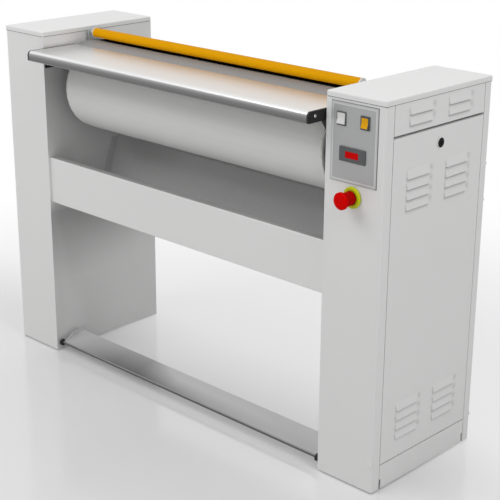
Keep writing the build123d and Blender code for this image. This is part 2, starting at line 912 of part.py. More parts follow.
def chest_gear_motor():
    x0 = wall_x + sheet
    deep, wide = chest_gearbox
    y, z = pivot
    case = block(x0, x0 + deep, y - wide / 2, y + wide / 2, z - wide / 2, z + wide / 2)
    case = fillet(case.edges().filter_by(Axis.X), 10)
    case -= bar_x(pivot, pivot_radius + fit, x0 - 1, x0 + deep + 1)
    radius, length = chest_motor
    low = z - wide / 2
    spot = Pos(x0 + radius, y)
    motor = prism_z(spot * Circle(radius), low - length, low)
    motor += prism_z(spot * Circle(radius - 4), low - length - 14, low - length)
    return mirrored(case + motor)


# Finger guard
def guard_ends():
    radius, thick = guard_disc
    head, head_thick = guard_head
    outer_cheek = cheek_inner + cheek_thickness
    plug = bar_x(guard_axis, guard_radius - guard_wall - fit, guard_half - 12, guard_half)
    disc = bar_x(guard_axis, radius, guard_half, guard_half + thick)
    stub = bar_x(guard_axis, guard_stub, guard_half + thick, outer_cheek + 1)
    knob = bar_x(guard_axis, head, outer_cheek + soft_gap, outer_cheek + soft_gap + head_thick)
    return both(plug + disc + stub + knob)


# Foot bar
def foot_bar():
    tread = prism_x(ribbon([tread_front, tread_rear], -tread_sheet), -tread_half, tread_half)
    lip_centre = (tread_front[0] - 1, tread_front[1] - 1)
    roll = bar_x(lip_centre, tread_roll, -tread_half, tread_half)
    y, z = foot_pivot
    side = [
        (tread_front[0] + 4, tread_front[1]),
        (tread_front[0] + 4, tread_front[1] - 6),
        (y, z - 14),
        (tread_rear[0], tread_rear[1] - 14),
        tread_rear,
        (y + 12, z + 12),
        (y - 12, z + 10),
    ]
    arm = prism_x(polygon(side), tread_half, tread_half + foot_arm)
    pin = bar_x(foot_pivot, foot_pin, tread_half + foot_arm, wall_x + pin_reach)
    end = arm + pin
    return tread + roll + end + mirrored(end)


def foot_bushes():
    radius, length = foot_bush
    lip_centre = (tread_front[0] - 1, tread_front[1] - 1)
    ring = bar_x(lip_centre, radius, tread_half, tread_half + length)
    cut_front = tread_front[0] + 4
    cut_rear = tread_front[0] + 2 * radius
    cut = block(tread_half - 1, tread_half + length + 1, cut_front, cut_rear, 0, tread_rear[1])
    return both(ring - cut)


# Controls
def rocker_socket(place):
    face = front_y - plate_thickness
    wide, high = rocker_opening
    body = Rectangle(wide + 2 * rocker_wall, high + 2 * rocker_wall)
    rim = prism_y(Pos(*place) * RectangleRounded(*rocker_frame, 2), face - 2, face)
    case = rim + prism_y(Pos(*place) * body, face, face + rocker_depth)
    case -= prism_y(Pos(*place) * Rectangle(wide, high), face - 3, face + rocker_depth - 3)
    x, z = place
    case -= bar_x((face, z), 1.5 + fit, x - wide / 2 - 1.2, x + wide / 2 + 1.2)
    return case


def rocker(place):
    face = front_y - plate_thickness
    x, z = place
    half = rocker_opening[0] / 2 - 0.3
    paddle = polygon([(-5.5, -16), (-3.0, 0), (-5.5, 16), (7, 9), (7, -9)])
    form = prism_x(paddle & Circle(rocker_round), -half, half)
    form += bar_x((0, 0), 1.5, -half - 1.2, half + 1.2)
    return Pos(x, face, z) * Rot(rocker_tilt, 0, 0) * form


def display_bezel():
    face = front_y - plate_thickness
    front = face - bezel_proud
    frame = prism_y(span_face(bezel_span, bezel_corner_round), front, face)
    frame = chamfer(frame.faces().sort_by(Axis.Y)[0].edges(), 1.2)
    x0, x1, z0, z1 = bezel_span
    inset, deep = bezel_body
    frame += block(x0 + inset, x1 - inset, face, face + deep, z0 + inset, z1 - inset)
    return frame - prism_y(span_face(window_span), front - 1, front + 2)


def display_window():
    front = front_y - plate_thickness - bezel_proud
    return prism_y(span_face(window_span), front + 0.8, front + 2)


def turned(points, place, y0):
    # Turned form on an axis along Y; points are radius and distance from y0
    profile = polygon([(radius, -run) for radius, run in points])
    form = revolve(profile, axis=Axis.Y)
    return Pos(place[0], y0, place[1]) * form


def estop_collar():
    # Dished ring; the mushroom's skirt sinks into its well
    face = front_y - plate_thickness
    points = [
        (neck_radius, 0),
        (collar_radius, 0),
        (collar_radius, collar_height / 3),
        (collar_radius - collar_height / 2, collar_height),
        (collar_well, collar_height),
        (collar_well, collar_floor),
        (neck_radius, collar_floor),
    ]
    return turned(points, estop_place, face)


def estop_contacts():
    face = front_y - plate_thickness
    inside = front_y + sheet
    wide, deep = contact_block
    neck = bar_y(estop_place, neck_radius, face - neck_reach, inside)
    outline = Pos(*estop_place) * RectangleRounded(wide, wide, 3)
    case = prism_y(outline, inside, inside + deep)
    bore = bar_y(estop_place, stem_radius + fit, face - neck_reach - 1, inside + neck_depth)
    return neck + case - bore


def estop_mushroom():
    # Radius and distance from the stem's inner end, the skirt over the neck
    face = stem_depth + plate_thickness
    low = face + collar_floor + estop_travel + 1
    ceiling = face + neck_reach + estop_travel + 1
    waist = face + skirt_length
    crown = face + mushroom_reach
    flat, edge = mushroom_crown
    points = [
        (0, 0),
        (stem_radius, 0),
        (stem_radius, ceiling),
        (skirt_bore, ceiling),
        (skirt_bore, low),
        (skirt_radius, low),
        (skirt_radius, waist),
        (waist_radius, waist + 3),
        (waist_radius + 0.5, waist + 7),
        (mushroom_radius - 2, crown - 13),
        (mushroom_radius, crown - 10),
        (mushroom_radius, crown - 5),
        (mushroom_radius - 3, crown - edge),
        (flat, crown),
        (0, crown),
    ]
    return turned(points, estop_place, front_y + stem_depth)


def electrical_plate():
    wide, high = board_size
    x0 = wall_x + sheet
    return block(x0, x0 + sheet, -wide / 2, wide / 2, board_low, board_low + high)


def contactors():
    wide, high, deep = contactor
    edge = board_size[0] / 2
    x0 = wall_x + 2 * sheet
    low = board_low + board_size[1] - high - contactor_inset
    step_back, step_high = contactor_step
    solids = []
    for k in range(4):
        y = contactor_inset - edge + k * (wide + contactor_pitch_gap)
        body = block(x0, x0 + deep, y, y + wide, low, low + high)
        for z in (low, low + high - step_high):
            notch = block(x0 + deep - step_back, x0 + deep + 1, y - 1, y + wide + 1, z, z + step_high)
            body -= notch
        solids.append(body)
    rail_y = edge - contactor_inset
    rail_z = board_low + rail_rise
    solids.append(block(x0, x0 + rail_size[0], -rail_y, rail_y, rail_z, rail_z + rail_size[1]))
    return group(solids)


def cable_gland():
    hexagon = Pos(*gland_place) * RegularPolygon(gland_nut, 6)
    flange = prism_y(hexagon, rear_y, rear_y + 4)
    points = [(gland_bore, 0), (12, 0), (12, 8), (9, gland_reach), (gland_bore, gland_reach)]
    profile = polygon(points)
    dome = Pos(gland_place[0], rear_y, gland_place[1]) * revolve(profile, axis=Axis.Y)
    radius, depth = gland_body
    body = bar_y(gland_place, radius, rear_y - depth, rear_y)
    nut = prism_y(hexagon, rear_y - sheet - 6, rear_y - sheet)
    gland = flange + dome + body + nut
    return gland - bar_y(gland_place, gland_bore, rear_y - depth - 1, rear_y + gland_reach + 1)


def main():
    os.makedirs("parts", exist_ok=True)
    wall = column_wall()
    skin = front_skin()
    back = rear_skin()
    lid = cap()
    base = base_frame()
    for name, shape in (("wall", wall), ("cap", lid), ("base_frame", base)):
        write("right_" + name, shape)
        write("left_" + name, mirrored(shape))
    write("left_front_skin", mirrored(skin))
    write("left_rear_skin", mirrored(back))
    pins = door_pins()
    bores = hinge_bore(front_y, rear_y, fit)
    write("right_front_skin", skin - control_cutouts(front_y - 1, front_y + sheet + 1) - bores)
    write("right_rear_skin", back - bores - bar_y(gland_place, gland_body[0], rear_y - 5, rear_y + 1))
    write("left_side_panel", mirrored(side_panel(ground_gap, skin_top, folds_below=False)))
    write("levelling_feet", levelling_feet())
    write("right_upper_panel", upper_panel())
    write("right_door", door())
    write("door_pins", pins)
    write("door_lock", door_lock())
    write("right_kick_panel", kick_panel())

    write("front_apron", front_apron())
    write("linen_tray", linen_tray())
    write("rear_cover", rear_cover())
    write("rear_tie_beam", rear_tie_beam())
    write("feed_table", feed_table())
    write("table_end_caps", table_end_caps())
    write("feed_guide", feed_guide())
    write("table_brackets", table_brackets())

    half = roller_length / 2
    write("roller_tube", tube_x(roller_axis, roller_tube, roller_tube - roller_tube_wall, -half, half))
    write("roller_ends", roller_ends())
    soft = cover_length / 2 - cover_thickness - soft_gap
    write("roller_padding", tube_x(roller_axis, padding_outer, padding_inner, -soft, soft))
    write("roller_cover", roller_cloth())
    write("roller_bearings", roller_bearings())
    x0 = wall_x + pulley_offset
    write("roller_pulley", mirrored(pulley(roller_axis, roller_pitch_radius, journal_radius, x0)))
    write("motor_pulley", motor_pulley())
    write("drive_belt", drive_belt())
    write("gear_motor", gear_motor())

    write("chest_casting", chest_casting())
    write("chest_lip", chest_lip())
    write("chest_heaters", chest_heaters())
    write("chest_insulation", chest_insulation())
    write("chest_box", chest_box())
    write("chest_cheeks", chest_cheeks())
    reach = wall_x + sheet + chest_gearbox[0]
    write("chest_shaft", bar_x(pivot, pivot_radius, -reach, wall_x + shaft_reach))
    write("pivot_bushes", pivot_bushes())
    write("chest_gear_motor", chest_gear_motor())

    write("guard_bar", tube_x(guard_axis, guard_radius, guard_radius - guard_wall, -guard_half, guard_half))
    write("guard_ends", guard_ends())
    write("foot_bar", foot_bar())
    write("foot_bushes", foot_bushes())

    plate = prism_y(span_face(plate_span, 3), front_y - plate_thickness, front_y)
    write("control_plate", plate - control_cutouts(front_y - plate_thickness - 1, front_y + 1))
    write("white_rocker_frame", rocker_socket(white_rocker_place))
    write("white_rocker", rocker(white_rocker_place))
    write("amber_rocker_frame", rocker_socket(amber_rocker_place))
    write("amber_rocker", rocker(amber_rocker_place))
    write("display_bezel", display_bezel())
    write("display_window", display_window())
    write("estop_collar", estop_collar())
    write("estop_contacts", estop_contacts())
    write("estop_mushroom", estop_mushroom())
    write("electrical_plate", electrical_plate())
    write("contactors", contactors())
    write("cable_gland", cable_gland())


main()
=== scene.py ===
import json
import math
import random

import bmesh
import bpy
from mathutils import Matrix, Vector


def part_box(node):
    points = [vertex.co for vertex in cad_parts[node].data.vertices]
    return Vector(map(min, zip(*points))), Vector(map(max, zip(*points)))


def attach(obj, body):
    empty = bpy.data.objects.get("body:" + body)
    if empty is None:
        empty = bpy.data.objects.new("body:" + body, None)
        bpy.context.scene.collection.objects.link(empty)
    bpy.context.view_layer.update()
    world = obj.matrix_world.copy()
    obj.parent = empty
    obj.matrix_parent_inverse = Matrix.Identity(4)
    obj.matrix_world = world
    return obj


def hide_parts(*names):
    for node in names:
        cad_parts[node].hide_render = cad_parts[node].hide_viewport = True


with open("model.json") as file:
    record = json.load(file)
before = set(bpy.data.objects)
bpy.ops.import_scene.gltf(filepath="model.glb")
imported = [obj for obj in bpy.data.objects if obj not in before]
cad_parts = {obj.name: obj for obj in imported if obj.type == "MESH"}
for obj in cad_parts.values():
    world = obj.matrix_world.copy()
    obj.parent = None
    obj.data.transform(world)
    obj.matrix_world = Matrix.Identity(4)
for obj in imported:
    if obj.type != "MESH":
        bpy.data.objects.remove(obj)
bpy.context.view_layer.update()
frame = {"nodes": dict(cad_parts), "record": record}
nodes = frame["nodes"]
random.seed(11)
print("frame loaded", len(nodes), "nodes")


# A wrapped socket, so that shader maths reads as plain sums
class Signal:
    def __init__(self, bench, socket):
        self.bench = bench
        self.socket = socket

    def join(self, operation, other, swapped=False):
        first, second = (other, self) if swapped else (self, other)
        return self.bench.node("ShaderNodeMath", {"operation": operation}, {0: first, 1: second})

    def __add__(self, other):
        return self.join("ADD", other)

    def __radd__(self, other):
        return self.join("ADD", other, True)

    def __sub__(self, other):
        return self.join("SUBTRACT", other)

    def __rsub__(self, other):
        return self.join("SUBTRACT", other, True)

    def __mul__(self, other):
        return self.join("MULTIPLY", other)

    def __rmul__(self, other):
        return self.join("MULTIPLY", other, True)

    def __truediv__(self, other):
        return self.join("DIVIDE", other)

    def __rtruediv__(self, other):
        return self.join("DIVIDE", other, True)

    def __gt__(self, other):
        return self.join("GREATER_THAN", other)

    def __lt__(self, other):
        return self.join("LESS_THAN", other)

    def __pow__(self, other):
        return self.join("POWER", other)

    def least(self, other):
        return self.join("MINIMUM", other)

    def most(self, other):
        return self.join("MAXIMUM", other)

    def sine(self):
        return self.join("SINE", 0.0)

    def size(self):
        return self.join("ABSOLUTE", 0.0)

    def held(self):  # between 0 and 1
        return self.most(0.0).least(1.0)

    def ramp(self, start, length):
        return ((self - start) / length).held()

    def eased(self):
        return self * self * (3.0 - 2.0 * self)


# A node tree under construction
class Bench:
    def __init__(self, tree):
        self.tree = tree

    def feed(self, node, sockets):
        for key, value in sockets.items():
            socket = node.inputs[key]
            if isinstance(value, Signal):
                self.tree.links.new(value.socket, socket)
            elif isinstance(value, tuple) and socket.type == "RGBA":
                socket.default_value = (*value, 1.0)
            else:
                socket.default_value = value

    def node(self, kind, settings=None, sockets=None, output=0):
        made = self.tree.nodes.new(kind)
        for key, value in (settings or {}).items():
            if key == "stops":
                ramp = made.color_ramp
                ramp.elements.remove(ramp.elements[1])
                ramp.elements[0].position = value[0][0]
                ramp.elements[0].color = (*value[0][1], 1.0)
                for place, tone in value[1:]:
                    ramp.elements.new(place).color = (*tone, 1.0)
            else:
                setattr(made, key, value)
        self.feed(made, sockets or {})
        return Signal(self, made.outputs[output])

    def rays(self, first, *others):
        seen = self.node("ShaderNodeLightPath", output=first)
        for kind in others:
            seen = seen.most(self.node("ShaderNodeLightPath", output=kind))
        return seen


# One material under construction
class Finish(Bench):
    def __init__(self, name, fixed):
        self.material = bpy.data.materials.new(name)
        self.material.use_nodes = True
        super().__init__(self.material.node_tree)
        self.shader = self.tree.nodes["Principled BSDF"]
        self.feed(self.shader, fixed)

    def place(self, stretch=(1, 1, 1)):
        spot = self.node("ShaderNodeTexCoord", output="Object")
        return self.node("ShaderNodeMapping", {}, {"Vector": spot, "Scale": stretch})

    def axes(self, letters="XYZ"):
        spot = self.node("ShaderNodeTexCoord", output="Object")
        return [self.node("ShaderNodeSeparateXYZ", {}, {0: spot}, letter) for letter in letters]

    def noise(self, scale, detail=2.0, stretch=(1, 1, 1), rough=0.5):
        spot = self.place(stretch)
        sockets = {"Vector": spot, "Scale": scale, "Detail": detail, "Roughness": rough}
        return self.node("ShaderNodeTexNoise", {}, sockets)

    def cells(self, scale):
        sockets = {"Vector": self.place(), "Scale": scale}
        return self.node("ShaderNodeTexVoronoi", {}, sockets, "Color")

    def tint(self, mask, first, second):
        sockets = {0: mask, 6: first, 7: second}
        return self.node("ShaderNodeMix", {"data_type": "RGBA"}, sockets, 2)

    def vary(self, mask, tone, darker, lighter):
        return self.tint(mask, shade(tone, darker), shade(tone, lighter))

    def greys(self, stops, factor):
        tones = [(place, (grey, grey, grey)) for place, grey in stops]
        return self.node("ShaderNodeValToRGB", {"stops": tones}, {0: factor})

    def relief(self, height, distance, strength):
        sockets = {"Strength": strength, "Distance": distance, "Height": height}
        self.feed(self.shader, {"Normal": self.node("ShaderNodeBump", {}, sockets)})

    def done(self, **varying):
        names = {"color": "Base Color", "roughness": "Roughness", "glow": "Emission Color"}
        self.feed(self.shader, {names[key]: value for key, value in varying.items()})
        return self.material


def shade(tone, factor):
    return tuple(min(1.0, part * factor) for part in tone)


# Powder coat on the sheet-metal panels
coatLook = {"tone": (0.80, 0.80, 0.795), "roughness": 0.36}
trayLook = {"tone": (0.71, 0.71, 0.71), "roughness": 0.22}
coatGrain = {"peel": 620.0, "swell": 90.0, "cloud": 2.6, "depth": 0.00005, "specular": 0.45}


def powderCoat(name, look, dusk=None):
    finish = Finish(name, {"Specular IOR Level": coatGrain["specular"]})
    peel = finish.noise(coatGrain["peel"])
    swell = finish.noise(coatGrain["swell"])
    cloud = finish.noise(coatGrain["cloud"], 3.0)
    finish.relief(peel * 0.6 + swell * 0.4, coatGrain["depth"], 0.5)
    color = finish.vary(cloud, look["tone"], 0.985, 1.012)
    if dusk:
        color = finish.tint(dusk(finish), color, (0.0, 0.0, 0.0))
    return finish.done(color=color, roughness=look["roughness"] + swell * 0.08)


# Painted shade on the coat under each louvre hood and behind its rear end.
# A row group is its top hood's lowest edge and the number of hoods.
louvrePaintedShade = {
    "rows": ((1.014, 2), (0.850, 4), (0.214, 4)),
    "pitch": 0.027,
    "hoodShare": 0.80,
    "columns": (-0.057, 0.1045),
    "half": 0.049,
    "softEdge": 0.007,
    "reach": 0.014,
    "depth": 0.44,
    "behindMiddle": 0.003,
    "behindReach": 0.013,
    "behindDepth": 0.25,
    "bulgeAt": 0.55,
    "bulgeHalf": 0.5,
}


def paintedShadeUnderLouvres(finish):
    look = louvrePaintedShade
    y, z = finish.axes("YZ")
    aside = (y - look["columns"][0]).size().least((y - look["columns"][1]).size())
    ends = [middle + look["half"] + look["behindMiddle"] for middle in look["columns"]]
    beyond = (y - ends[0]).size().least((y - ends[1]).size())
    dusk = 0.0
    span = 0.0
    for top, count in look["rows"]:
        steps = (top - z) / look["pitch"]
        rest = steps.join("FRACT", 0.0)
        falling = (1.0 - rest * (look["pitch"] / look["reach"])).most(0.0)
        bulge = (1.0 - (rest - look["bulgeAt"]).size() / look["bulgeHalf"]).most(0.0)
        dusk = falling * falling * (steps > 0.0) * (steps < float(count)) + dusk
        span = bulge * (steps > -look["hoodShare"]) * (steps < float(count - 1)) + span
    # painted shade under the hoods, and behind their rear ends
    under = dusk * ((look["half"] - aside) / look["softEdge"]).held() * look["depth"]
    behind = span * (1.0 - beyond / look["behindReach"]).most(0.0) * look["behindDepth"]
    return under.most(behind)


# Painted shade: the crossbeam's top flange is darkened as if it lay in the roller's shade
flangePaintedShade = {"thick": 0.003, "front": 0.002, "depth": 0.52}


def paintedShadeUnderRoller(finish):
    look = flangePaintedShade
    low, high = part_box("front_apron")
    y, z = finish.axes("YZ")
    return (z > high.z - look["thick"]) * (y > low.y + look["front"]) * look["depth"]


# The tray is painted darker between its end tabs
tabDusk = {"half": 0.5703, "depth": 0.155}


def betweenTabs(finish):
    return (finish.axes("X")[0].size() < tabDusk["half"]) * tabDusk["depth"]


# The columns' inner faces: painted shade under the crossbeam, beside the roller up to the table and
# in the corner under it, and painted light towards the floor and the rear and on a band beside the
# roller.
# A pair is where a change starts and how long it is.
innerLook = {
    "tone": (0.95, 0.95, 0.944),
    "roughness": 0.36,
    "keep": 0.842,  # what the other faces keep of the tone
    "face": 0.5743,  # half the way between the columns, and a little more
    "beamFoot": 0.46,
    "beamReach": 0.22,
    "beamTone": 0.50,
    "rearOrigin": 0.15,
    "rearGrowth": 2.2,
    "rearLevel": 0.45,
    "frontLevel": 0.4,
    "most": 1.22,
    "easing": 6.0,
    "join": (0.48, 0.06),
    "beside": (0.70, 0.20),
    "besideDepth": 0.32,
    "corner": (0.940, 0.032),
    "cornerDepth": 0.72,
    "front": 0.03,
    "frontReach": 0.12,
    "table": 0.985,
    "slopeMiddle": 0.66,
    "slopeHalf": 0.12,
    "slopeGain": 0.17,
    "slopeFront": (-0.14, 0.06),
}


def paintedShadingBesideTable(finish):
    look = innerLook
    x, y, z = finish.axes()
    # painted shade under the crossbeam, giving way to painted light towards the floor and the rear
    fall = ((look["beamFoot"] - z) / look["beamReach"]).held()
    rearward = (y + look["rearOrigin"]) * look["rearGrowth"] + look["rearLevel"]
    low = fall * rearward.most(look["frontLevel"]) + look["beamTone"]
    low = low / ((low / look["most"]) ** look["easing"] + 1.0) ** (1 / look["easing"])
    # painted shade beside the roller and in the corner under the table
    beside = z.ramp(*look["beside"]) * look["besideDepth"]
    corner = z.ramp(*look["corner"]) * look["cornerDepth"]
    deep = beside.most(corner) * (z < look["table"])
    deep = deep * ((look["front"] - y) / look["frontReach"]).held()
    # painted light on a band beside the roller
    slope = (1.0 - (z - look["slopeMiddle"]).size() / look["slopeHalf"]).most(0.0)
    light = slope * y.ramp(*look["slopeFront"]) * look["slopeGain"]
    share = low + z.ramp(*look["join"]) * (light - deep + 1.0 - low)
    inner = x.size() < look["face"]
    return 1.0 - (inner * (share - 1.0) + 1.0) * look["keep"]


# Steel sheet with its grain along the machine
alongSheet = (1.5, 420.0, 420.0)


def brushGrain(finish):
    return finish.noise(3.0, 4.0, alongSheet, 0.6)


# Satin steel of the curved guide behind the table, darkened as painted shade where the roller's top
# lies in shade under the guard bar
guidePaintedShadeLook = {"tone": (0.29, 0.29, 0.295), "roughness": 0.50, "depth": 0.00002, "metallic": 0.45}


def satinGuide(name, look):
    finish = Finish(name, {"Metallic": look["metallic"]})
    grain = brushGrain(finish)
    fine = finish.noise(9.0, 2.0, alongSheet, 0.7)
    cloud = finish.noise(3.0)
    streak = grain * 0.65 + fine * 0.35
    finish.relief(streak, look["depth"], 0.5)
    color = finish.vary(streak, look["tone"], 0.93, 1.05)
    return finish.done(color=color, roughness=look["roughness"] + grain * 0.10 + cloud * 0.06)


# Folded table: polished top; down the front of its nose a painted dark reflection below a painted
# highlight on the fold.
# A stop is a share of the nose's drop and its grey.
tableLook = {
    "tone": (0.76, 0.76, 0.755),
    "roughness": 0.24,
    "depth": 0.00001,
    "nose": 0.013,
    "noseReflectionStops": ((0.0, 0.80), (0.12, 0.80), (0.24, 0.36), (0.50, 0.20), (0.85, 0.14), (1.0, 0.34)),
}


def foldedTable(name, look):
    finish = Finish(name, {"Metallic": 1.0})
    low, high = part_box("feed_table")
    y, z = finish.axes("YZ")
    grain = brushGrain(finish)
    cloud = finish.noise(3.0)
    finish.relief(grain, look["depth"], 0.4)
    # painted reflection and highlight down the nose's front
    nose = finish.greys(look["noseReflectionStops"], (high.z - z) / (high.z - low.z))
    steel = finish.vary(grain, look["tone"], 0.96, 1.03)
    color = finish.tint(y < low.y + look["nose"], steel, nose)
    return finish.done(color=color, roughness=look["roughness"] + grain * 0.08 + cloud * 0.05)


# Foot bar: pressed stainless with painted reflections: greys that change along its length and
# lighten towards the rear, and its rolled front edge painted dark with one painted highlight line.
# A stop is a share of the bar's length and its grey.
treadLook = {
    "roughness": 0.15,
    "depth": 0.00001,
    "metallic": 0.25,
    "alongReflectionStops": (
        (0.0, 0.62), (0.06, 0.58), (0.24, 0.17), (0.36, 0.16), (0.60, 0.50), (1.0, 0.78),
    ),
    "rearPaintedLight": (0.85, 0.85, 0.85),
    "rearLift": 1.6,
    "hazeStart": 0.26,
    "hazeGrowth": 5.0,
    "hazeLeast": 0.34,
    "rollPaintedDark": (0.09, 0.09, 0.09),
    "rollDeep": 0.0072,
    "rollTall": 0.0085,
    "crestPaintedHighlight": (0.40, 0.40, 0.40),
    "crestDeep": 0.0095,
}


def treadSteel(name, look):
    finish = Finish(name, {"Metallic": look["metallic"]})
    low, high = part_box("foot_bar")
    x, y, z = finish.axes()
    grain = brushGrain(finish)
    finish.relief(grain, look["depth"], 0.4)
    along = (x - low.x) / (high.x - low.x)
    back = (y - low.y) / (high.y - low.y)
    # painted reflections along the bar; then painted light towards the rear, the painted dark roll
    # and the painted highlight line
    steel = finish.greys(look["alongReflectionStops"], along)
    haze = (along - look["hazeStart"]) * look["hazeGrowth"]
    haze = haze.most(look["hazeLeast"]).least(1.0)
    steel = finish.tint((back * haze * look["rearLift"]).least(1.0), steel, look["rearPaintedLight"])
    roll = (y < low.y + look["rollDeep"]) * (z < low.z + look["rollTall"])
    crest = (y < low.y + look["crestDeep"]) * (z > low.z + look["rollTall"])
    color = finish.tint(crest, finish.tint(roll, steel, look["rollPaintedDark"]), look["crestPaintedHighlight"])
    return finish.done(color=color, roughness=look["roughness"] + grain * 0.08)


# Galvanised sheet with a faint spangle
zincLook = {
    "tone": (0.60, 0.62, 0.63),
    "roughness": 0.38,
    "metallic": 0.9,
    "spangle": 95.0,
    "haze": 14.0,
    "depth": 0.00002,
}


def galvanised(name, look):
    finish = Finish(name, {"Metallic": look["metallic"]})
    flake = finish.node("ShaderNodeRGBToBW", {}, {0: finish.cells(look["spangle"])})
    haze = finish.noise(look["haze"], 3.0)
    finish.relief(flake * 0.5 + haze * 0.5, look["depth"], 0.4)
    color = finish.vary(flake, look["tone"], 0.90, 1.08)
    return finish.done(color=color, roughness=look["roughness"] + flake * 0.12 + haze * 0.06)


# Satin aluminium front plate with a printed border line
plateLook = {
    "tone": (0.405, 0.407, 0.409),
    "band": (0.50, 0.505, 0.51),
    "line": (0.74, 0.745, 0.75),
    "border": 0.0052,
    "lineWidth": 0.0011,
    "roughness": 0.42,
    "metallic": 0.55,
    "brush": (1.0, 300.0, 300.0),
    "depth": 0.00001,
}


def platePrint(name, look):
    finish = Finish(name, {"Metallic": look["metallic"]})
    low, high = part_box("control_plate")
    x, z = finish.axes("XZ")
    reach = (x - low.x).least(high.x - x).least((z - low.z).least(high.z - z))
    border = reach < look["border"]
    half = look["lineWidth"] * 0.5
    line = (reach - look["border"] - half).size() < half
    grain = finish.noise(4.0, 3.0, look["brush"], 0.6)
    field = finish.vary(grain, look["tone"], 0.96, 1.04)
    color = finish.tint(line, finish.tint(border, field, look["band"]), look["line"])
    finish.relief(grain, look["depth"], 0.4)
    return finish.done(color=color, roughness=look["roughness"] + grain * 0.12)


# Machined and polished aluminium of the chest
castLook = {
    "tone": (0.74, 0.745, 0.75),
    "roughness": 0.20,
    "lathe": (240.0, 3.0, 3.0),
    "haze": 9.0,
    "depth": 0.00002,
}


def polishedCasting(name, look):
    finish = Finish(name, {"Metallic": 1.0})
    turned = finish.noise(5.0, 3.0, look["lathe"], 0.6)
    haze = finish.noise(look["haze"], 4.0)
    finish.relief(turned, look["depth"], 0.4)
    color = finish.vary(haze, look["tone"], 0.90, 1.03)
    return finish.done(color=color, roughness=look["roughness"] + turned * 0.12 + haze * 0.10)


# Sprayed cast iron of the motors and pulleys
ironLook = {
    "tone": (0.085, 0.10, 0.115),
    "roughness": 0.52,
    "specular": 0.4,
    "metallic": 0.1,
    "grit": 420.0,
    "cast": 60.0,
    "depth": 0.00018,
}


def sprayedIron(name, look):
    fixed = {"Metallic": look["metallic"], "Specular IOR Level": look["specular"]}
    finish = Finish(name, fixed)
    grit = finish.noise(look["grit"], 3.0)
    cast = finish.noise(look["cast"], 4.0)
    finish.relief(grit * 0.5 + cast * 0.5, look["depth"], 0.7)
    color = finish.vary(cast, look["tone"], 0.82, 1.18)
    return finish.done(color=color, roughness=look["roughness"] + grit * 0.14)


# Moulded plastics with a fine grain over the flow of the melt
blackLook = {"tone": (0.012, 0.012, 0.013), "roughness": 0.50, "specular": 0.3, "coat": 0.0}
greyLook = {"tone": (0.100, 0.104, 0.108), "roughness": 0.48, "specular": 0.3, "coat": 0.0}
gasketLook = {"tone": (0.165, 0.169, 0.173), "roughness": 0.55, "specular": 0.2, "coat": 0.0}
collarLook = {"tone": (0.56, 0.60, 0.002), "roughness": 0.45, "specular": 0.25, "coat": 0.0}
whiteLook = {"tone": (0.74, 0.74, 0.73), "roughness": 0.34, "specular": 0.5, "coat": 0.1}
plasticGrain = {"grain": 1500.0, "flow": 45.0, "depth": 0.00004, "coatRoughness": 0.08}


def mouldedPlastic(name, look):
    gloss = {"Coat Weight": look["coat"], "Coat Roughness": plasticGrain["coatRoughness"]}
    finish = Finish(name, {"Specular IOR Level": look["specular"], **gloss})
    grain = finish.noise(plasticGrain["grain"])
    flow = finish.noise(plasticGrain["flow"])
    finish.relief(grain, plasticGrain["depth"], 0.6)
    color = finish.vary(flow, look["tone"], 0.95, 1.05)
    return finish.done(color=color, roughness=look["roughness"] + grain * 0.08)


def mouldedFlow(finish):
    flow = finish.noise(plasticGrain["flow"])
    finish.relief(flow, plasticGrain["depth"], 0.6)
    return flow


# Door lock: black barrel in a ring that has the door's coat
lockLook = {
    "tone": (0.006, 0.006, 0.006),
    "roughness": 0.60,
    "specular": 0.12,
    "face": 0.0130,
    "ring": coatLook["tone"],
    "ringDeep": 0.0029,
    "ringPolish": 0.20,
}


def ringedLock(name, look):
    finish = Finish(name, {"Specular IOR Level": look["specular"]})
    low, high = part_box("door_lock")
    middle = (high.z + low.z) / 2
    x, y, z = finish.axes()
    away = ((y - (low.y + middle - low.z)) ** 2.0 + (z - middle) ** 2.0) ** 0.5
    ring = (away > look["face"]) * (x > high.x - look["ringDeep"])
    black = finish.vary(mouldedFlow(finish), look["tone"], 0.95, 1.05)
    roughness = look["roughness"] - ring * look["ringPolish"]
    return finish.done(color=finish.tint(ring, black, look["ring"]), roughness=roughness)


# Amber rocker: a lit lens let into a grey paddle
lensLook = {
    "tone": (0.78, 0.39, 0.002),
    "rim": greyLook["tone"],
    "wide": 0.0099,
    "tall": 0.0126,
    "roughness": 0.40,
    "specular": 0.15,
}


def lensRocker(name, look):
    finish = Finish(name, {"Specular IOR Level": look["specular"]})
    low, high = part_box("amber_rocker")
    x, z = finish.axes("XZ")
    beside = (x - (low.x + high.x) / 2).size() > look["wide"]
    beyond = (z - (low.z + high.z) / 2).size() > look["tall"]
    flow = mouldedFlow(finish)
    lens = finish.vary(flow, look["tone"], 0.95, 1.05)
    color = finish.tint(beside.most(beyond), lens, look["rim"])
    return finish.done(color=color, roughness=look["roughness"] + flow * 0.08)


# Emergency stop: bright cap on a neck painted darker red as painted shade
stopLook = {
    "cap": (0.70, 0.0, 0.0),
    "neck": (0.42, 0.0, 0.0),
    "capDepth": 0.004,
    "blend": 0.006,
    "roughness": 0.52,
    "specular": 0.04,
}


def stopButton(name, look):
    finish = Finish(name, {"Specular IOR Level": look["specular"]})
    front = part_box("estop_mushroom")[0].y
    neck = (finish.axes("Y")[0] - front).ramp(look["capDepth"], look["blend"])
    flow = mouldedFlow(finish)
    # painted shade: the neck a darker red than the cap
    red = finish.tint(neck, look["cap"], look["neck"])
    color = finish.tint(flow * 0.1, red, look["cap"])
    return finish.done(color=color, roughness=look["roughness"] + flow * 0.08)


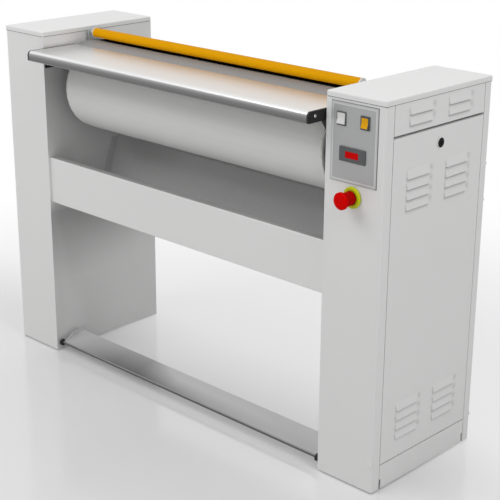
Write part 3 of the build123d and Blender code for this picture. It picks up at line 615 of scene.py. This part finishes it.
# Sprayed enamel: the guard tube's is painted lighter along its underside than along its top, as
# painted light against the shade below it
enamelGrain = {"peel": 380.0, "cloud": 8.0, "depth": 0.00006}
guardPaintedLightLook = {
    "top": (0.73, 0.335, 0.0),
    "foot": (1.0, 0.46, 0.0),
    "roughness": 0.50,
    "specular": 0.04,
}
# The chest lip's near-black is painted shade: it stands for the dark nip under the guard bar
nipShadeStripLook = {"tone": (0.004, 0.004, 0.004), "roughness": 0.65, "specular": 0.0}


def guardEnamel(name, look):
    finish = Finish(name, {"Specular IOR Level": look["specular"]})
    low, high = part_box("guard_bar")
    peel = finish.noise(enamelGrain["peel"])
    cloud = finish.noise(enamelGrain["cloud"], 3.0)
    finish.relief(peel, enamelGrain["depth"], 0.5)
    # painted light: the tube lighter towards its underside
    rise = finish.axes("Z")[0].ramp(low.z, high.z - low.z)
    coat = finish.tint(rise, look["foot"], look["top"])
    color = finish.tint(cloud * 0.12, coat, look["top"])
    return finish.done(color=color, roughness=look["roughness"] + peel * 0.06)


def stripEnamel(name, look):
    finish = Finish(name, {"Specular IOR Level": look["specular"]})
    peel = finish.noise(enamelGrain["peel"])
    cloud = finish.noise(enamelGrain["cloud"], 3.0)
    finish.relief(peel, enamelGrain["depth"], 0.5)
    color = finish.vary(cloud, look["tone"], 0.96, 1.03)
    return finish.done(color=color, roughness=look["roughness"] + peel * 0.06)


# Rubber of the belt, the bushes and the cap seals
rubberLook = {
    "tone": (0.022, 0.022, 0.023),
    "roughness": 0.66,
    "specular": 0.3,
    "grit": 900.0,
    "bloom": 30.0,
    "depth": 0.00008,
}


def rubberSkin(name, look):
    finish = Finish(name, {"Specular IOR Level": look["specular"]})
    grit = finish.noise(look["grit"], 3.0)
    bloom = finish.noise(look["bloom"], 3.0)
    finish.relief(grit, look["depth"], 0.7)
    color = finish.vary(bloom, look["tone"], 0.85, 1.25)
    return finish.done(color=color, roughness=look["roughness"] + bloom * 0.14)


# Turned metals
steelLook = {"tone": (0.72, 0.72, 0.73), "roughness": 0.20}
bronzeLook = {"tone": (0.62, 0.40, 0.17), "roughness": 0.30}
latheRings = {"stretch": (180.0, 10.0, 10.0), "depth": 0.00002}


def turnedMetal(name, look):
    finish = Finish(name, {"Metallic": 1.0})
    rings = finish.noise(6.0, 3.0, latheRings["stretch"], 0.6)
    finish.relief(rings, latheRings["depth"], 0.4)
    color = finish.vary(rings, look["tone"], 0.92, 1.05)
    return finish.done(color=color, roughness=look["roughness"] + rings * 0.10)


# Cotton sheeting, its threads laid out on the piece's own map in metres
cottonLook = {
    "tone": (0.80, 0.80, 0.79),
    "thread": 0.0009,
    "depth": 0.00010,
    "slub": 60.0,
    "slubStretch": (1.0, 8.0, 8.0),
    "crease": 3.0,
    "creaseStretch": (0.5, 34.0, 34.0),
    "cloud": 5.0,
    "roughness": 0.78,
    "specular": 0.2,
    "sheen": 0.25,
    "sheenRoughness": 0.5,
}


def wovenCloth(name, look):
    sheen = {"Sheen Weight": look["sheen"], "Sheen Roughness": look["sheenRoughness"]}
    finish = Finish(name, {"Specular IOR Level": look["specular"], **sheen})
    chart = finish.node("ShaderNodeUVMap", {"uv_map": "clothMap"})
    along, across = [
        finish.node("ShaderNodeSeparateXYZ", {}, {0: chart}, letter) for letter in "XY"
    ]
    turn = 2 * math.pi / look["thread"]
    weave = (along * turn).sine() * (across * turn).sine() * 0.5 + 0.5
    slub = finish.noise(look["slub"], 3.0, look["slubStretch"])
    cloud = finish.noise(look["cloud"], 3.0)
    finish.relief(weave * 0.7 + slub * 0.3, look["depth"], 0.5)
    crease = finish.noise(look["crease"], 3.0, look["creaseStretch"], 0.6)
    worn = finish.vary(cloud * 0.3 + crease * 0.7, look["tone"], 0.90, 1.06)
    color = finish.tint(weave * 0.35 + slub * 0.2, worn, shade(look["tone"], 0.93))
    return finish.done(color=color, roughness=look["roughness"] + slub * 0.12)


# Needled felt and mineral wool
feltLook = {"tone": (0.60, 0.57, 0.50), "fibre": 260.0, "depth": 0.0006}
woolLook = {"tone": (0.46, 0.42, 0.25), "fibre": 150.0, "depth": 0.0012}
padNap = {
    "lie": (1.0, 2.5, 1.6),
    "tufts": 34.0,
    "roughness": 0.84,
    "specular": 0.15,
    "sheen": 0.3,
    "sheenRoughness": 0.6,
}


def fibrePad(name, look):
    sheen = {"Sheen Weight": padNap["sheen"], "Sheen Roughness": padNap["sheenRoughness"]}
    finish = Finish(name, {"Specular IOR Level": padNap["specular"], **sheen})
    strands = finish.noise(look["fibre"], 5.0, padNap["lie"], 0.7)
    tufts = finish.noise(padNap["tufts"], 4.0)
    finish.relief(strands * 0.7 + tufts * 0.3, look["depth"], 0.7)
    color = finish.vary(strands * 0.6 + tufts * 0.4, look["tone"], 0.72, 1.12)
    return finish.done(color=color, roughness=padNap["roughness"] + strands * 0.12)


# Lit red filter of the display
windowLook = {
    "tone": (0.52, 0.001, 0.001),
    "glow": 0.18,
    "roughness": 0.30,
    "specular": 0.04,
    "haze": 160.0,
    "depth": 0.00002,
}


def litWindow(name, look):
    fixed = {"Specular IOR Level": look["specular"], "Emission Strength": look["glow"]}
    finish = Finish(name, fixed)
    haze = finish.noise(look["haze"])
    color = finish.vary(haze, look["tone"], 0.94, 1.04)
    finish.relief(haze, look["depth"], 0.3)
    return finish.done(color=color, glow=color, roughness=look["roughness"] + haze * 0.08)


finishes = {
    "white_paint": powderCoat("white_powder_coat", coatLook),
    "tray_paint": powderCoat("satin_tray_coat", trayLook, betweenTabs),
    "louvred_paint": powderCoat("louvred_coat_painted_shade", coatLook, paintedShadeUnderLouvres),
    "beam_paint": powderCoat("crossbeam_coat_painted_shade", coatLook, paintedShadeUnderRoller),
    "column_paint": powderCoat("column_coat_painted_shading", innerLook, paintedShadingBesideTable),
    "zinc_steel": galvanised("galvanised_sheet", zincLook),
    "folded_table": foldedTable("folded_table_painted_reflection", tableLook),
    "guide_steel": satinGuide("satin_feed_guide_painted_shade", guidePaintedShadeLook),
    "tread_steel": treadSteel("foot_bar_painted_reflection", treadLook),
    "plate_aluminium": platePrint("printed_aluminium_plate", plateLook),
    "cast_aluminium": polishedCasting("polished_chest_casting", castLook),
    "motor_iron": sprayedIron("sprayed_cast_iron", ironLook),
    "black_plastic": mouldedPlastic("moulded_black", blackLook),
    "grey_plastic": mouldedPlastic("moulded_grey", greyLook),
    "pale_gasket": mouldedPlastic("moulded_pale_gasket", gasketLook),
    "collar_plastic": mouldedPlastic("collar_yellow_green", collarLook),
    "white_plastic": mouldedPlastic("rocker_white", whiteLook),
    "amber_plastic": lensRocker("rocker_amber", lensLook),
    "red_plastic": stopButton("button_red_painted_shade", stopLook),
    "red_window": litWindow("lit_red_window", windowLook),
    "lock_black": ringedLock("ringed_lock_black", lockLook),
    "black_strip": stripEnamel("black_strip_painted_shade", nipShadeStripLook),
    "yellow_paint": guardEnamel("yellow_tube_enamel_painted_light", guardPaintedLightLook),
    "black_rubber": rubberSkin("black_rubber", rubberLook),
    "bright_steel": turnedMetal("turned_bright_steel", steelLook),
    "bronze": turnedMetal("bearing_bronze", bronzeLook),
    "cotton": wovenCloth("cotton_ironing_cloth", cottonLook),
    "felt": fibrePad("needled_felt", feltLook),
    "mineral_wool": fibrePad("mineral_wool_blanket", woolLook),
}
print("finishes mixed", len(finishes))

# Each node has its slot's finish, and these have one painted for their own place
ownFinishes = {
    "feed_table": "folded_table",
    "feed_guide": "guide_steel",
    "foot_bar": "tread_steel",
    "door_lock": "lock_black",
    "linen_tray": "tray_paint",
    "front_apron": "beam_paint",
    "right_door": "louvred_paint",
    "right_upper_panel": "louvred_paint",
}
for hand in ("left", "right"):
    for part in ("_wall", "_front_skin", "_rear_skin"):
        ownFinishes[hand + part] = "column_paint"
slotOf = {row["node"]: row["material_slot"] for row in frame["record"]["subparts"]}
slotOf.update(ownFinishes)
for name, node in nodes.items():
    node.data.materials.clear()
    node.data.materials.append(finishes[slotOf[name]])


# Helpers for new pieces
def alone(piece):
    bpy.ops.object.select_all(action="DESELECT")
    piece.select_set(True)
    bpy.context.view_layer.objects.active = piece


def settle():
    bpy.ops.object.transform_apply(location=True, rotation=True, scale=True)
    return bpy.context.active_object


def cylinder(around, radius, depth, place, turn=(0, 0, 0), fill="NGON"):
    bpy.ops.object.select_all(action="DESELECT")
    bpy.ops.mesh.primitive_cylinder_add(
        vertices=around,
        radius=radius,
        depth=depth,
        end_fill_type=fill,
        location=place,
        rotation=turn,
    )
    return settle()


def edit(piece):
    alone(piece)
    bpy.ops.object.mode_set(mode="EDIT")
    bpy.ops.mesh.select_mode(type="FACE")
    bpy.ops.mesh.select_all(action="DESELECT")


def pick(piece, test):
    mesh = bmesh.from_edit_mesh(piece.data)
    bpy.ops.mesh.select_mode(type="FACE")
    bpy.ops.mesh.select_all(action="DESELECT")
    for face in mesh.faces:
        if test(face):
            face.select_set(True)
    mesh.select_flush_mode()
    bmesh.update_edit_mesh(piece.data)


sideCorners = 8  # only the ends of a cylinder have more corners than this
squarely = 0.9  # how nearly a picked face looks straight along its axis


def isEnd(face):
    return len(face.verts) > sideCorners


def pickEnd(piece, side):
    pick(piece, lambda face: face.normal.x * side > squarely and isEnd(face))


def slices(axis, start, step, count):
    for k in range(1, count):
        bpy.ops.mesh.select_all(action="SELECT")
        bpy.ops.mesh.bisect(plane_co=axis * (start + k * step), plane_no=axis)


def leave(piece):
    bpy.ops.object.mode_set(mode="OBJECT")
    alone(piece)
    settle()


def modify(piece, kind, settings):
    alone(piece)
    step = piece.modifiers.new(kind.lower(), kind)
    for key, value in settings.items():
        setattr(step, key, value)
    bpy.ops.object.modifier_apply(modifier=step.name)


def outward(piece):
    edit(piece)
    bpy.ops.mesh.select_all(action="SELECT")
    bpy.ops.mesh.remove_doubles(threshold=0.00001)
    bpy.ops.mesh.normals_make_consistent(inside=False)
    leave(piece)


def smooth(piece, angle):
    alone(piece)
    bpy.ops.object.shade_smooth_by_angle(angle=math.radians(angle))


def fit(piece, name, body, slot, replaced=()):
    piece.name = name
    piece.data.name = name
    piece.data.materials.clear()
    piece.data.materials.append(finishes[slot])
    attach(piece, body)
    if replaced:
        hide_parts(*replaced)
    return piece


def joined(pieces):
    alone(pieces[0])
    for piece in pieces[1:]:
        piece.select_set(True)
    bpy.ops.object.join()
    return bpy.context.view_layer.objects.active


# Roller and its clothing
low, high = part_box("roller_cover")
rollerAxis = Vector((0.0, (low.y + high.y) / 2, (low.z + high.z) / 2))
alongRoller = Vector((1, 0, 0))
rollerTurn = (0, math.pi / 2, 0)
clothRadius = (high.z - low.z) / 2
clothHalf = (high.x - low.x) / 2
low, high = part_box("roller_padding")
padRadius = (high.z - low.z) / 2
padHalf = (high.x - low.x) / 2
low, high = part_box("roller_tube")
tubeRadius = (high.z - low.z) / 2


def fromAxis(point):
    spot = point - rollerAxis
    return spot, math.hypot(spot.y, spot.z), math.atan2(spot.z, spot.y)


clothPiece = {
    "around": 160,
    "along": 40,
    "hem": 0.011,
    "rim": 0.0025,
    "sink": 0.0006,
    "pleats": 36,
    "pleatDepth": 0.0008,
    "pleatTurn": 0.4,
    "swell": 0.00022,
    "swellAlong": 19.0,
    "swellAround": 2.0,
    "shoulder": 0.0018,
    "shoulderReach": 0.006,
    "rippleShare": 0.25,
    "rippleReach": 0.03,
    "outside": 0.001,
    "thickness": 0.0009,
}


def gatherCloth(mesh, look):
    for vertex in mesh.vertices:
        spot, radius, angle = fromAxis(vertex.co)
        edge = clothHalf - abs(spot.x)
        pleat = look["pleats"] * angle
        if radius > clothRadius - look["outside"]:
            # a shallow swell in the padding, and the rounded shoulder at each end
            wave = math.sin(spot.x * look["swellAlong"] + look["swellAround"] * angle)
            swell = look["swell"] * wave - look["swell"]
            shoulder = -look["shoulder"] * max(0.0, 1 - edge / look["shoulderReach"]) ** 2
            ripple = look["pleatDepth"] * look["rippleShare"] * math.cos(pleat)
            ripple *= max(0.0, 1 - edge / look["rippleReach"])
            factor = (radius + swell + shoulder + min(0.0, ripple)) / radius
        else:
            factor = 1.0
            inner = (clothRadius - radius) / look["hem"]
            fold = 0.5 + 0.5 * math.cos(pleat + look["pleatTurn"])
            vertex.co.x -= math.copysign(look["pleatDepth"] * inner * fold, spot.x)
        vertex.co.y = rollerAxis.y + spot.y * factor
        vertex.co.z = rollerAxis.z + spot.z * factor


# The sheet's flat measures: girth by length, carried on over each hem
def chartCloth(mesh):
    chart = mesh.uv_layers.new(name="clothMap")
    for face in mesh.polygons:
        corners = [mesh.loops[index].vertex_index for index in face.loop_indices]
        spots = [fromAxis(mesh.vertices[corner].co) for corner in corners]
        turns = [angle % (2 * math.pi) for spot, radius, angle in spots]
        wraps = max(turns) - min(turns) > math.pi
        for index, turn, (spot, radius, angle) in zip(face.loop_indices, turns, spots):
            if wraps and turn < math.pi:
                turn += 2 * math.pi
            outer = math.copysign(clothRadius - radius, spot.x)
            chart.data[index].uv = (turn * clothRadius, spot.x + outer)


def rollerCloth(look):
    cloth = cylinder(look["around"], clothRadius, 2 * clothHalf, rollerAxis, rollerTurn)
    edit(cloth)
    # each end turns in over the roller's rim as a gathered hem
    for side in (-1, 1):
        pickEnd(cloth, side)
        bpy.ops.mesh.inset(thickness=look["rim"], depth=0.0)
        pickEnd(cloth, side)
        bpy.ops.mesh.inset(thickness=look["hem"] - look["rim"], depth=-look["sink"])
        pickEnd(cloth, side)
        bpy.ops.mesh.delete(type="ONLY_FACE")
    slices(alongRoller, -clothHalf, 2 * clothHalf / look["along"], look["along"])
    leave(cloth)
    gatherCloth(cloth.data, look)
    chartCloth(cloth.data)
    outward(cloth)
    wall = {"thickness": look["thickness"], "offset": -1.0, "use_even_offset": True}
    modify(cloth, "SOLIDIFY", wall)
    smooth(cloth, 50)
    return fit(cloth, "roller_cloth", "roller", "cotton", ["roller_cover"])


padPiece = {
    "around": 128,
    "along": 26,
    "layers": 3,
    "clear": 0.0003,
    "ruffle": 0.0012,
    "ruffles": 9,
    "swell": 0.0005,
    "swellAlong": 31.0,
    "swellAround": 3,
    "outside": 0.0005,
}


def rollerPad(look):
    pad = cylinder(look["around"], padRadius, 2 * padHalf, rollerAxis, rollerTurn)
    edit(pad)
    inner = tubeRadius + look["clear"]
    ring = (padRadius - inner) / look["layers"]
    for side in (-1, 1):
        for k in range(look["layers"]):
            pickEnd(pad, side)
            bpy.ops.mesh.inset(thickness=ring, depth=0.0)
    pick(pad, isEnd)
    bpy.ops.mesh.bridge_edge_loops()
    slices(alongRoller, -padHalf, 2 * padHalf / look["along"], look["along"])
    leave(pad)
    for vertex in pad.data.vertices:
        spot, radius, angle = fromAxis(vertex.co)
        layer = (radius - inner) / ring
        atEnd = abs(spot.x) > padHalf - look["outside"]
        if atEnd and 0.5 < layer < look["layers"] - 0.5:
            ruffle = look["ruffle"] * (1 + math.sin(look["ruffles"] * angle + layer))
            vertex.co.x -= math.copysign(ruffle, spot.x)
        elif radius > padRadius - look["outside"]:
            wave = math.sin(look["swellAlong"] * spot.x + look["swellAround"] * angle)
            factor = 1 - look["swell"] * (1 + wave) / (2 * radius)
            vertex.co.y = rollerAxis.y + spot.y * factor
            vertex.co.z = rollerAxis.z + spot.z * factor
    outward(pad)
    smooth(pad, 50)
    fit(pad, "roller_pad", "roller", "felt", ["roller_padding"])


rollerPad(padPiece)
cloth = rollerCloth(clothPiece)
print("roller dressed")

# Insulation blanket behind the chest, quilted on its outer face
blanketPiece = {
    "innerRadius": 0.1588,
    "outerRadius": 0.1847,
    "start": -46.5,
    "end": 42.5,
    "clear": 0.001,
    "rows": 9,
    "rowSlices": 4,
    "columns": 11,
    "columnSlices": 8,
    "rowEdge": 12,
    "columnEdge": 40,
    "thin": 0.20,
    "crown": 0.40,
    "tuft": 0.25,
}


def chestBlanket(look):
    low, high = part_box("chest_insulation")
    half = (high.x - low.x) / 2 - look["clear"]
    bpy.ops.object.select_all(action="DESELECT")
    bpy.ops.mesh.primitive_cube_add(size=1.0, location=(0, 0, 0))
    blanket = bpy.context.active_object
    edit(blanket)
    for axis, count in (
        (Vector((1, 0, 0)), look["columns"] * look["columnSlices"]),
        (Vector((0, 0, 1)), look["rows"] * look["rowSlices"]),
        (Vector((0, 1, 0)), 2),
    ):
        slices(axis, -0.5, 1 / count, count)
    leave(blanket)
    sweep = look["end"] - look["start"]
    thickness = look["outerRadius"] - look["innerRadius"]
    middle = (look["innerRadius"] + look["outerRadius"]) / 2
    for vertex in blanket.data.vertices:
        across, depth, rise = (part + 0.5 for part in vertex.co)
        angle = math.radians(look["start"] + sweep * rise)
        tuft = abs(math.sin(math.pi * rise * look["rows"]))
        tuft *= abs(math.sin(math.pi * across * look["columns"]))
        fullness = 1 - look["tuft"] + look["tuft"] * math.sqrt(tuft)
        edge = min(rise, 1 - rise) * look["rowEdge"]
        edge = min(1.0, edge, min(across, 1 - across) * look["columnEdge"])
        share = look["thin"] + look["crown"] * math.sqrt(max(0.0, edge)) * fullness
        radius = middle + (depth - 0.5) * 2 * thickness * min(0.5, share)
        vertex.co.x = (across - 0.5) * 2 * half
        vertex.co.y = rollerAxis.y + radius * math.cos(angle)
        vertex.co.z = rollerAxis.z + radius * math.sin(angle)
    outward(blanket)
    smooth(blanket, 60)
    fit(blanket, "chest_blanket", "chest", "mineral_wool", ["chest_insulation"])


chestBlanket(blanketPiece)
print("chest lagged")

# Screws: one pan head with a cross recess, copied to each place
screwSizes = ("radius", "height", "cross", "slot", "depth", "edge")
coverScrew = dict(zip(screwSizes, (0.0046, 0.0026, 0.0026, 0.0010, 0.0012, 0.0011)))
skinScrew = dict(zip(screwSizes, (0.0062, 0.0046, 0.0034, 0.0012, 0.0016, 0.0022)))
flatScrew = dict(zip(screwSizes, (0.0050, 0.0015, 0.0028, 0.0010, 0.0009, 0.0006)))
tableScrew = dict(zip(screwSizes, (0.0044, 0.0022, 0.0024, 0.0009, 0.0010, 0.0010)))
headSides = 28
headRounding = {"segments": 3, "limit_method": "ANGLE", "angle_limit": 0.9}


def panHead(look):
    head = cylinder(headSides, look["radius"], look["height"], (0, 0, look["height"] / 2))
    modify(head, "BEVEL", {"width": look["edge"], **headRounding})
    cutters = []
    for turn in (0, math.pi / 2):
        bpy.ops.object.select_all(action="DESELECT")
        place = (0, 0, look["height"])
        bpy.ops.mesh.primitive_cube_add(size=1.0, location=place, rotation=(0, 0, turn))
        bar = bpy.context.active_object
        bar.scale = (2 * look["cross"], look["slot"], 2 * look["depth"])
        cutters.append(settle())
    for bar in cutters:
        modify(head, "BOOLEAN", {"operation": "DIFFERENCE", "object": bar, "solver": "EXACT"})
        bpy.data.objects.remove(bar)
    smooth(head, 40)
    return head


def screwSet(name, spots, look):
    master = panHead(look)
    copies = []
    for place, facing in spots:
        screw = master.copy()
        screw.data = master.data.copy()
        bpy.context.scene.collection.objects.link(screw)
        turn = Vector((0, 0, 1)).rotation_difference(Vector(facing)).to_matrix().to_4x4()
        spin = Matrix.Rotation(random.uniform(0, math.pi / 2), 4, "Z")
        screw.data.transform(Matrix.Translation(Vector(place)) @ turn @ spin)
        copies.append(screw)
    bpy.data.objects.remove(master)
    fit(joined(copies), name, "frame", "bright_steel")


# Insets are from the edge of the sheet that the screws hold
screwPlaces = {
    "inner": {"inset": 0.012, "heights": (0.070, 0.300, 0.510, 0.721, 0.822)},
    "outer": {"inset": 0.180, "heights": (0.721, 0.822)},
    "side": {"inset": 0.045, "heights": (0.040, 0.360, 0.700, 1.020)},
    "cover": {"foot": 0.012, "top": 0.014, "start": -0.5, "pitch": 0.2, "count": 6},
    "table": {"front": 0.025, "top": 0.013},
}
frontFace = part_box("right_front_skin")[0].y
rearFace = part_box("right_rear_skin")[1].y
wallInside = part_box("right_wall")[0].x
coverLow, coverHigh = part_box("rear_cover")
panelLow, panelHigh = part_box("right_kick_panel")
endLow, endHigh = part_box("table_end_caps")
skinSpots = []
sideSpots = []
coverSpots = []
tableSpots = []
for side in (-1, 1):
    for row in (screwPlaces["inner"], screwPlaces["outer"]):
        x = side * (wallInside + row["inset"])
        skinSpots += [((x, rearFace, height), (0, 1, 0)) for height in row["heights"]]
    row = screwPlaces["table"]
    place = (side * endHigh.x, endLow.y + row["front"], endHigh.z - row["top"])
    tableSpots.append((place, (side, 0, 0)))
row = screwPlaces["side"]
for height in row["heights"]:
    for y in (panelLow.y + row["inset"], panelHigh.y - row["inset"]):
        sideSpots.append(((-panelHigh.x, y, height), (-1, 0, 0)))
row = screwPlaces["cover"]
for k in range(row["count"]):
    x = row["start"] + row["pitch"] * k
    for height in (coverLow.z + row["foot"], coverHigh.z - row["top"]):
        coverSpots.append(((x, coverHigh.y, height), (0, 1, 0)))
screwSet("rear_skin_screws", skinSpots, skinScrew)
screwSet("rear_cover_screws", coverSpots, coverScrew)
screwSet("side_panel_screws", sideSpots, flatScrew)
screwSet("table_end_screws", tableSpots, tableScrew)
print("screws driven")

# Painted button plugs over the two holes that the door's hinge pins go in by
plugPiece = {
    "around": 32,
    "radius": 0.0066,
    "height": 0.0012,
    "crown": 0.0007,
    "crownShare": 0.35,
}


def hingePlugs(look):
    pinLow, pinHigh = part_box("door_pins")
    x, z = (pinLow.x + pinHigh.x) / 2, (pinLow.z + pinHigh.z) / 2
    plugs = []
    for y, side in ((frontFace, -1), (rearFace, 1)):
        place = (0, 0, look["height"] / 2)
        plug = cylinder(look["around"], look["radius"], look["height"], place, fill="TRIFAN")
        edit(plug)
        pick(plug, lambda face: face.normal.z > squarely)
        bpy.ops.mesh.inset(thickness=look["radius"] * look["crownShare"], depth=look["crown"])
        leave(plug)
        turn = Matrix.Rotation(-side * math.pi / 2, 4, "X")
        plug.data.transform(Matrix.Translation((x, y, z)) @ turn)
        smooth(plug, 50)
        plugs.append(plug)
    fit(joined(plugs), "hinge_hole_plugs", "frame", "white_paint")


hingePlugs(plugPiece)
print("plugs pressed in")


# Thin seals: a framed strip laid round a rectangle, flat or upright
def framedSeal(name, middle, span, look, turn, slot):
    bpy.ops.object.select_all(action="DESELECT")
    bpy.ops.mesh.primitive_plane_add(size=1.0, location=(0, 0, 0))
    seal = bpy.context.active_object
    seal.scale = (*span, 1)
    settle()
    edit(seal)
    if look["corner"]:
        bpy.ops.mesh.select_all(action="SELECT")
        rounding = {"offset": look["corner"], "offset_type": "OFFSET"}
        bpy.ops.mesh.bevel(segments=5, affect="VERTICES", **rounding)
    bpy.ops.mesh.select_all(action="SELECT")
    bpy.ops.mesh.inset(thickness=look["width"], depth=0.0)
    bpy.ops.mesh.delete(type="FACE")
    leave(seal)
    modify(seal, "SOLIDIFY", {"thickness": look["tall"], "offset": -1.0})
    outward(seal)
    modify(seal, "BEVEL", {"width": look["edge"], "segments": 2, "limit_method": "ANGLE"})
    seal.data.transform(Matrix.Translation(middle) @ Matrix.Rotation(turn, 4, "X"))
    smooth(seal, 35)
    return fit(seal, name, "frame", slot)


# A cap's seal stands a little proud of the column all round; its black rubber stands in for the
# shadow line under the cap's overhang.
plateSeal = {"width": 0.0012, "tall": 0.0011, "edge": 0.0003, "corner": 0.0}
capShadowSeal = {"width": 0.0024, "tall": 0.0014, "edge": 0.0003, "corner": 0.0055, "proud": 0.0009}


def plateGasket(look):
    low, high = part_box("control_plate")
    y = frontFace - look["tall"]
    middle = Vector(((low.x + high.x) / 2, y, (low.z + high.z) / 2))
    span = (high.x - low.x + 2 * look["width"], high.z - low.z + 2 * look["width"])
    gasket = framedSeal("plate_gasket", middle, span, look, math.pi / 2, "grey_plastic")
    gasket.data.materials[0] = finishes["pale_gasket"]


def capShadowSeals(look):
    wide = panelHigh.x - wallInside + 2 * look["proud"]
    deep = rearFace - frontFace + 2 * look["proud"]
    for side, hand in ((-1, "left"), (1, "right")):
        x = side * (panelHigh.x + wallInside) / 2
        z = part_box(hand + "_cap")[0].z
        middle = Vector((x, (rearFace + frontFace) / 2, z))
        framedSeal(hand + "_cap_shadow_seal", middle, (wide, deep), look, 0.0, "black_rubber")


plateGasket(plateSeal)
capShadowSeals(capShadowSeal)
print("seals laid")

# Studio: a white room that only the camera, gloss and clear pieces see as white
studio = {"light": 0.42, "seen": 1.0, "white": (1.0, 1.0, 1.0)}


def whiteRoom(look):
    world = bpy.data.worlds.new("studio")
    bpy.context.scene.world = world
    world.use_nodes = True
    room = Bench(world.node_tree)
    shown = room.rays("Is Camera Ray", "Is Glossy Ray", "Is Transmission Ray")
    plain, white = [
        room.node("ShaderNodeBackground", {}, {"Color": look["white"], "Strength": look[key]})
        for key in ("light", "seen")
    ]
    choice = room.node("ShaderNodeMixShader", {}, {0: shown, 1: plain, 2: white})
    room.feed(room.tree.nodes["World Output"], {0: choice})


# The floor keeps the shadow under the machine, and turns white away from it
floorLook = {
    "size": 40.0,
    "tone": (0.80, 0.80, 0.80),
    "roughness": 0.13,
    "gloss": 1.7,
    "lift": 0.12,
    "rearLift": 0.40,
    "rearFrom": -0.10,
    "rearTo": 0.35,
    "fadeFrom": 0.85,
    "fadeTo": 2.4,
}


def paleFloor(look):
    bpy.ops.object.select_all(action="DESELECT")
    bpy.ops.mesh.primitive_plane_add(size=look["size"], location=(0, 0, 0))
    floor = bpy.context.active_object
    floor.name = "studio_floor"
    fixed = {"Roughness": look["roughness"], "IOR": look["gloss"], "Base Color": look["tone"]}
    finish = Finish("pale_studio_floor", fixed)
    east, north = finish.axes("XY")
    reach = (east * east + north * north) ** 0.5
    fade = reach.ramp(look["fadeFrom"], look["fadeTo"] - look["fadeFrom"]).eased()
    rearward = north.ramp(look["rearFrom"], look["rearTo"] - look["rearFrom"]).eased()
    lift = look["lift"] + look["rearLift"] * rearward
    shown = (lift + (1.0 - lift) * fade) * finish.rays("Is Camera Ray", "Is Glossy Ray")
    plain = Signal(finish, finish.shader.outputs[0])
    white = finish.node("ShaderNodeEmission", {}, {"Strength": 1.0})
    blend = finish.node("ShaderNodeMixShader", {}, {0: shown, 1: plain, 2: white})
    finish.feed(finish.tree.nodes["Material Output"], {0: blend})
    floor.data.materials.append(finish.material)


whiteRoom(studio)
paleFloor(floorLook)

# The polished sheets mirror the white room alone, not the overhead lamp in it
lampTarget = Vector((0, 0, 0.5))
softboxes = {
    "overhead_softbox": {
        "place": (-1.3, 1.3, 3.5),
        "size": (4.5, 3.0),
        "power": 20.0,
        "mirrored": False,
    },
    "front_softbox": {
        "place": (-1.2, -3.2, 4.2),
        "size": (3.4, 2.2),
        "power": 80.0,
        "mirrored": True,
    },
    "side_softbox": {
        "place": (3.6, -0.6, 3.9),
        "size": (1.2, 1.6),
        "power": 50.0,
        "mirrored": True,
    },
}


def softbox(name, look):
    lamp = bpy.data.lights.new(name, "AREA")
    lamp.shape = "RECTANGLE"
    lamp.size, lamp.size_y = look["size"]
    lamp.energy = look["power"]
    holder = bpy.data.objects.new(name, lamp)
    bpy.context.scene.collection.objects.link(holder)
    holder.location = look["place"]
    towards = lampTarget - Vector(look["place"])
    holder.rotation_euler = towards.to_track_quat("-Z", "Y").to_euler()
    holder.visible_glossy = look["mirrored"]


for name, look in softboxes.items():
    softbox(name, look)

# Camera at the photograph's angle
lensPlace = {
    "spot": (2.590, -2.5595, 1.731),
    "yaw": -43.93,
    "pitch": -19.39,
    "roll": 0.33,
    "lens": 91.87,
    "sensor": 36.0,
}


def photoCamera(look):
    yaw, pitch, roll = (math.radians(look[key]) for key in ("yaw", "pitch", "roll"))
    level = math.cos(pitch)
    forward = Vector((math.sin(yaw) * level, math.cos(yaw) * level, math.sin(pitch)))
    right = forward.cross(Vector((0, 0, 1))).normalized()
    up = right.cross(forward)
    across = right * math.cos(roll) + up * math.sin(roll)
    upward = up * math.cos(roll) - right * math.sin(roll)
    data = bpy.data.cameras.new("photo_camera")
    data.lens = look["lens"]
    data.sensor_width = look["sensor"]
    data.sensor_fit = "HORIZONTAL"
    camera = bpy.data.objects.new("photo_camera", data)
    bpy.context.scene.collection.objects.link(camera)
    turn = Matrix((across, upward, -forward)).transposed().to_4x4()
    camera.matrix_world = Matrix.Translation(Vector(look["spot"])) @ turn
    return camera


bpy.context.scene.camera = photoCamera(lensPlace)
bpy.context.scene.view_settings.view_transform = "Standard"
print("studio lit")
